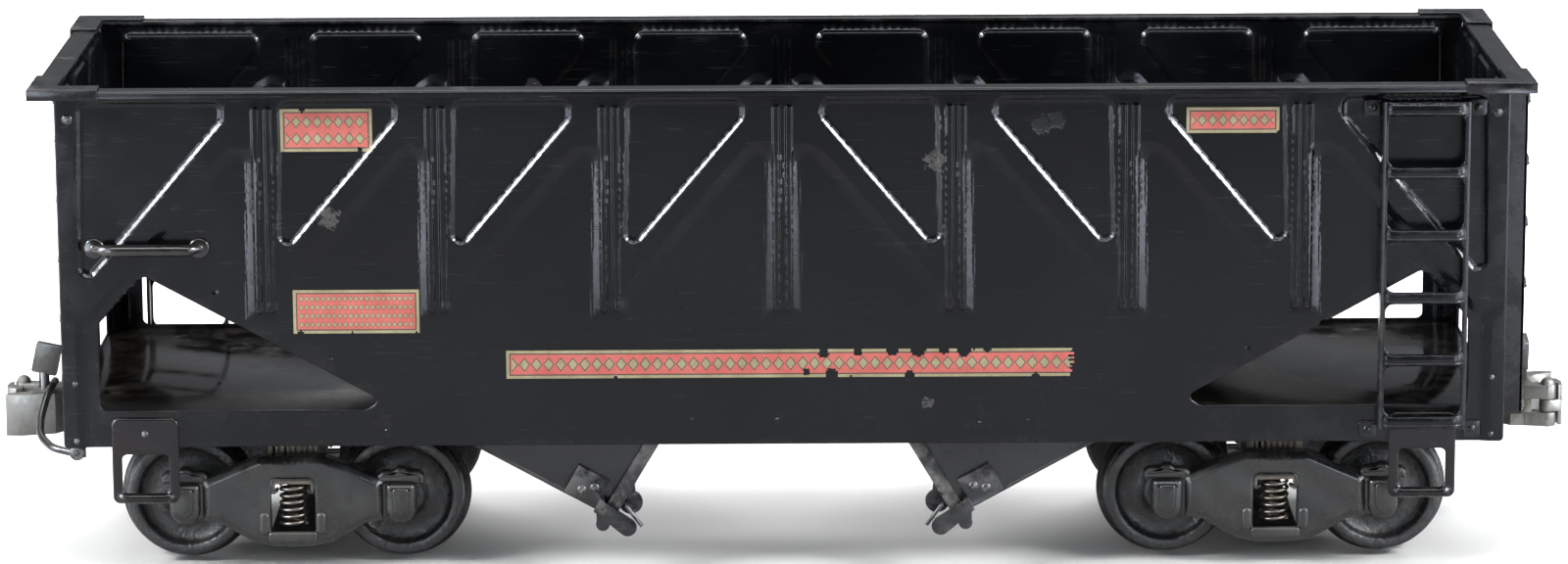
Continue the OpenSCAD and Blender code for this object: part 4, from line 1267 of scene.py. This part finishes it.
def label_paint(name, wide, tall, rows):
    n = Nodes(name)
    across = n.add("ShaderNodeAttribute", attribute_name="across").outputs["Fac"]
    up = n.add("ShaderNodeAttribute", attribute_name="up").outputs["Fac"]
    margin_u = n.math("MINIMUM", across, n.minus(wide, across))
    margin_v = n.math("MINIMUM", up, n.minus(tall, up))
    margin = n.math("MINIMUM", margin_u, margin_v)
    cloud, speck = n.noise(130, 6, 0.7), n.noise(620, 4, 0.7)
    red = n.mix(n.ramp(cloud, 0.3, 0.7), colour(0.5, 0.085, 0.065), colour(0.6, 0.125, 0.095))
    gold = n.mix(n.ramp(cloud, 0.35, 0.65), colour(0.27, 0.235, 0.12), colour(0.36, 0.32, 0.175))
    border = n.math("LESS_THAN", margin, 1.0)
    rule = n.math("LESS_THAN", n.math("ABSOLUTE", n.minus(margin, 1.25)), 0.22)
    pitch = (tall - 3.2) / rows
    cell = pitch * 0.62
    row_v = n.math("MODULO", n.minus(up, 1.6), pitch)
    off_v = n.math("ABSOLUTE", n.minus(row_v, pitch / 2))
    off_u = n.math("ABSOLUTE", n.minus(n.math("MODULO", across, cell), cell / 2))
    lozenge = n.plus(n.times(off_u, 1.25), off_v)
    inside = n.math("GREATER_THAN", margin, 1.9)
    mark = n.times(n.math("LESS_THAN", lozenge, pitch * 0.30), inside)
    shade = n.times(n.math("LESS_THAN", lozenge, pitch * 0.37), inside)
    dark = colour(0.03, 0.03, 0.02)
    tone = n.mix(border, red, gold)
    tone = n.mix(rule, tone, dark)
    tone = n.mix(shade, tone, dark)
    tone = n.mix(mark, tone, gold)
    tone = n.mix(n.times(n.ramp(speck, 0.58, 0.7), 0.4), tone, colour(0.08, 0.06, 0.045))
    n.put(n.shader.inputs["Base Color"], tone)
    n.put(n.shader.inputs["Roughness"], n.ramp(cloud, 0.3, 0.7, 0.42, 0.6))
    n.put(n.shader.inputs["Normal"], n.bump(speck, 0.12, 0.3))
    return n.material


label("label_end_a", -173.5, 152, -141.8, 167, [(-166, 167, 1.2), (-146, 152.5, 0.9)], rows=2)
label("label_end_b", 139.7, 157, 171.8, 166, [(171.8, 157, 0.8)], rows=1)
label("label_data", -170.5, 87.5, -126.6, 103, [(-168, 88, 0.9), (-150, 87.5, 0.6)], rows=4)
label("label_long", -96.6, 71, 102.8, 81,
      [(8, 73, 1.2), (14, 79.5, 1.8), (17, 72, 2.2), (26, 80, 1.4), (38, 80.6, 2.2), (47, 80.8, 2.6),
       (44, 71.2, 1.9), (56, 81, 2.0), (63, 80.5, 2.4), (71, 81, 1.5), (88, 71, 1.2)], torn=3.2, rows=1)


# ---- Floor, camera and light ----

def stage():
    mesh = bpy.data.meshes.new("floor")
    mesh.from_pydata([(-30, -30, 0), (30, -30, 0), (30, 30, 0), (-30, 30, 0)], [], [(0, 1, 2, 3)])
    floor = linked("floor", mesh)
    n = Nodes("floor_paper")
    paper = n.mix(n.noise(3, 2), colour(0.86, 0.86, 0.86), colour(0.9, 0.9, 0.9))
    n.put(n.shader.inputs["Base Color"], paper)
    n.shader.inputs["Roughness"].default_value = 0.9
    n.shader.inputs["Specular IOR Level"].default_value = 0.1
    floor.data.materials.append(n.material)


CAMERA = (-2.4, -2025.65, 523.73)       # millimetres
PITCH, ROLL, YAW = 0.2110, -0.0048, -0.0014
LENS, SENSOR = 132.05, 36.0
FILM_WHITE = "Standard"


def camera():
    data = bpy.data.cameras.new("camera")
    data.lens, data.sensor_width, data.sensor_fit = LENS, SENSOR, "HORIZONTAL"
    data.clip_end = 100
    obj = linked("camera", data)
    side = Vector((math.cos(YAW), math.sin(YAW), 0))
    ahead = Vector((-math.sin(YAW), math.cos(YAW), 0))
    forward = ahead * math.cos(PITCH) - Z * math.sin(PITCH)
    upward = ahead * math.sin(PITCH) + Z * math.cos(PITCH)
    right = side * math.cos(ROLL) + upward * math.sin(ROLL)
    top = upward * math.cos(ROLL) - side * math.sin(ROLL)
    turn = Matrix((right, top, -forward)).transposed().to_4x4()
    obj.matrix_world = Matrix.Translation(Vector(CAMERA) * MM) @ turn
    bpy.context.scene.camera = obj


def area_light(name, place, target, width, height, power, diffuse=True, glossy=True, tint=(1, 1, 1)):
    data = bpy.data.lights.new(name, "AREA")
    data.shape, data.size, data.size_y, data.energy = "RECTANGLE", width, height, power
    data.color = tint
    obj = linked(name, data)
    obj.visible_camera = False
    obj.visible_diffuse = diffuse
    obj.visible_glossy = glossy
    obj.matrix_world = Matrix.Translation(place) @ (
        (Vector(target) - Vector(place)).to_track_quat("-Z", "Y").to_matrix().to_4x4())


def card(name, place, target, width, height, brightness, tint=(0.84, 0.92, 1)):
    """A lit card that is only seen in reflections, with an even brightness over its face."""
    area_light(name, place, target, width, height, brightness * math.pi * width * height, False, True, tint)


def light():
    world = bpy.data.worlds.new("studio")
    world.use_nodes = True
    back = world.node_tree.nodes["Background"]
    back.inputs["Color"].default_value = (0.9, 0.94, 1.0, 1)
    back.inputs["Strength"].default_value = 0.22
    bpy.context.scene.world = world
    for side, s in (("left", -1), ("right", 1)):
        area_light(side + "_key", (s * 1.05, -0.5, 0.78), (s * 0.12, -0.07, 0.12), 0.34, 0.3, 9)
        area_light(side + "_fill", (s * 0.9, -0.42, 0.5), (0, 0, 0.12), 0.5, 0.95, 3)
        card(side + "_glint", (s * 1.06, -0.45, 0.69), (s * 0.14, -0.07, 0.14), 0.3, 0.28, 110, (1, 1, 1))
        card(side + "_low_card", (s * 0.445, -0.48, 0.06), (s * 0.14, -0.07, 0.11), 0.22, 0.13, 12)
        card(side + "_line_card", (s * 0.6, -0.74, 0.36), (s * 0.12, -0.07, 0.13), 0.34, 0.2, 12)
        card(side + "_edge_card", (s * 0.9, -0.34, 0.2), (s * 0.1, -0.07, 0.1), 0.3, 0.4, 16)
    area_light("top_box", (0, 0.5, 1.5), (0, 0.3, 0), 1.6, 1.0, 22)
    area_light("back_box", (0, 1.3, 1.2), (0, 1.1, 0), 2.0, 0.6, 10)
    area_light("back_low", (0, 1.1, 0.45), (0, 0, 0), 1.8, 0.3, 30, glossy=False)
    card("strip_card", (0, -0.62, 1.1), (0, 0, 0.12), 1.5, 0.09, 26, (1, 1, 1))
    card("sky_card", (0, -0.75, 1.0), (0, 0, 0.15), 1.3, 0.4, 3.2)
    bpy.context.scene.view_settings.view_transform = FILM_WHITE


stage()
camera()
light()
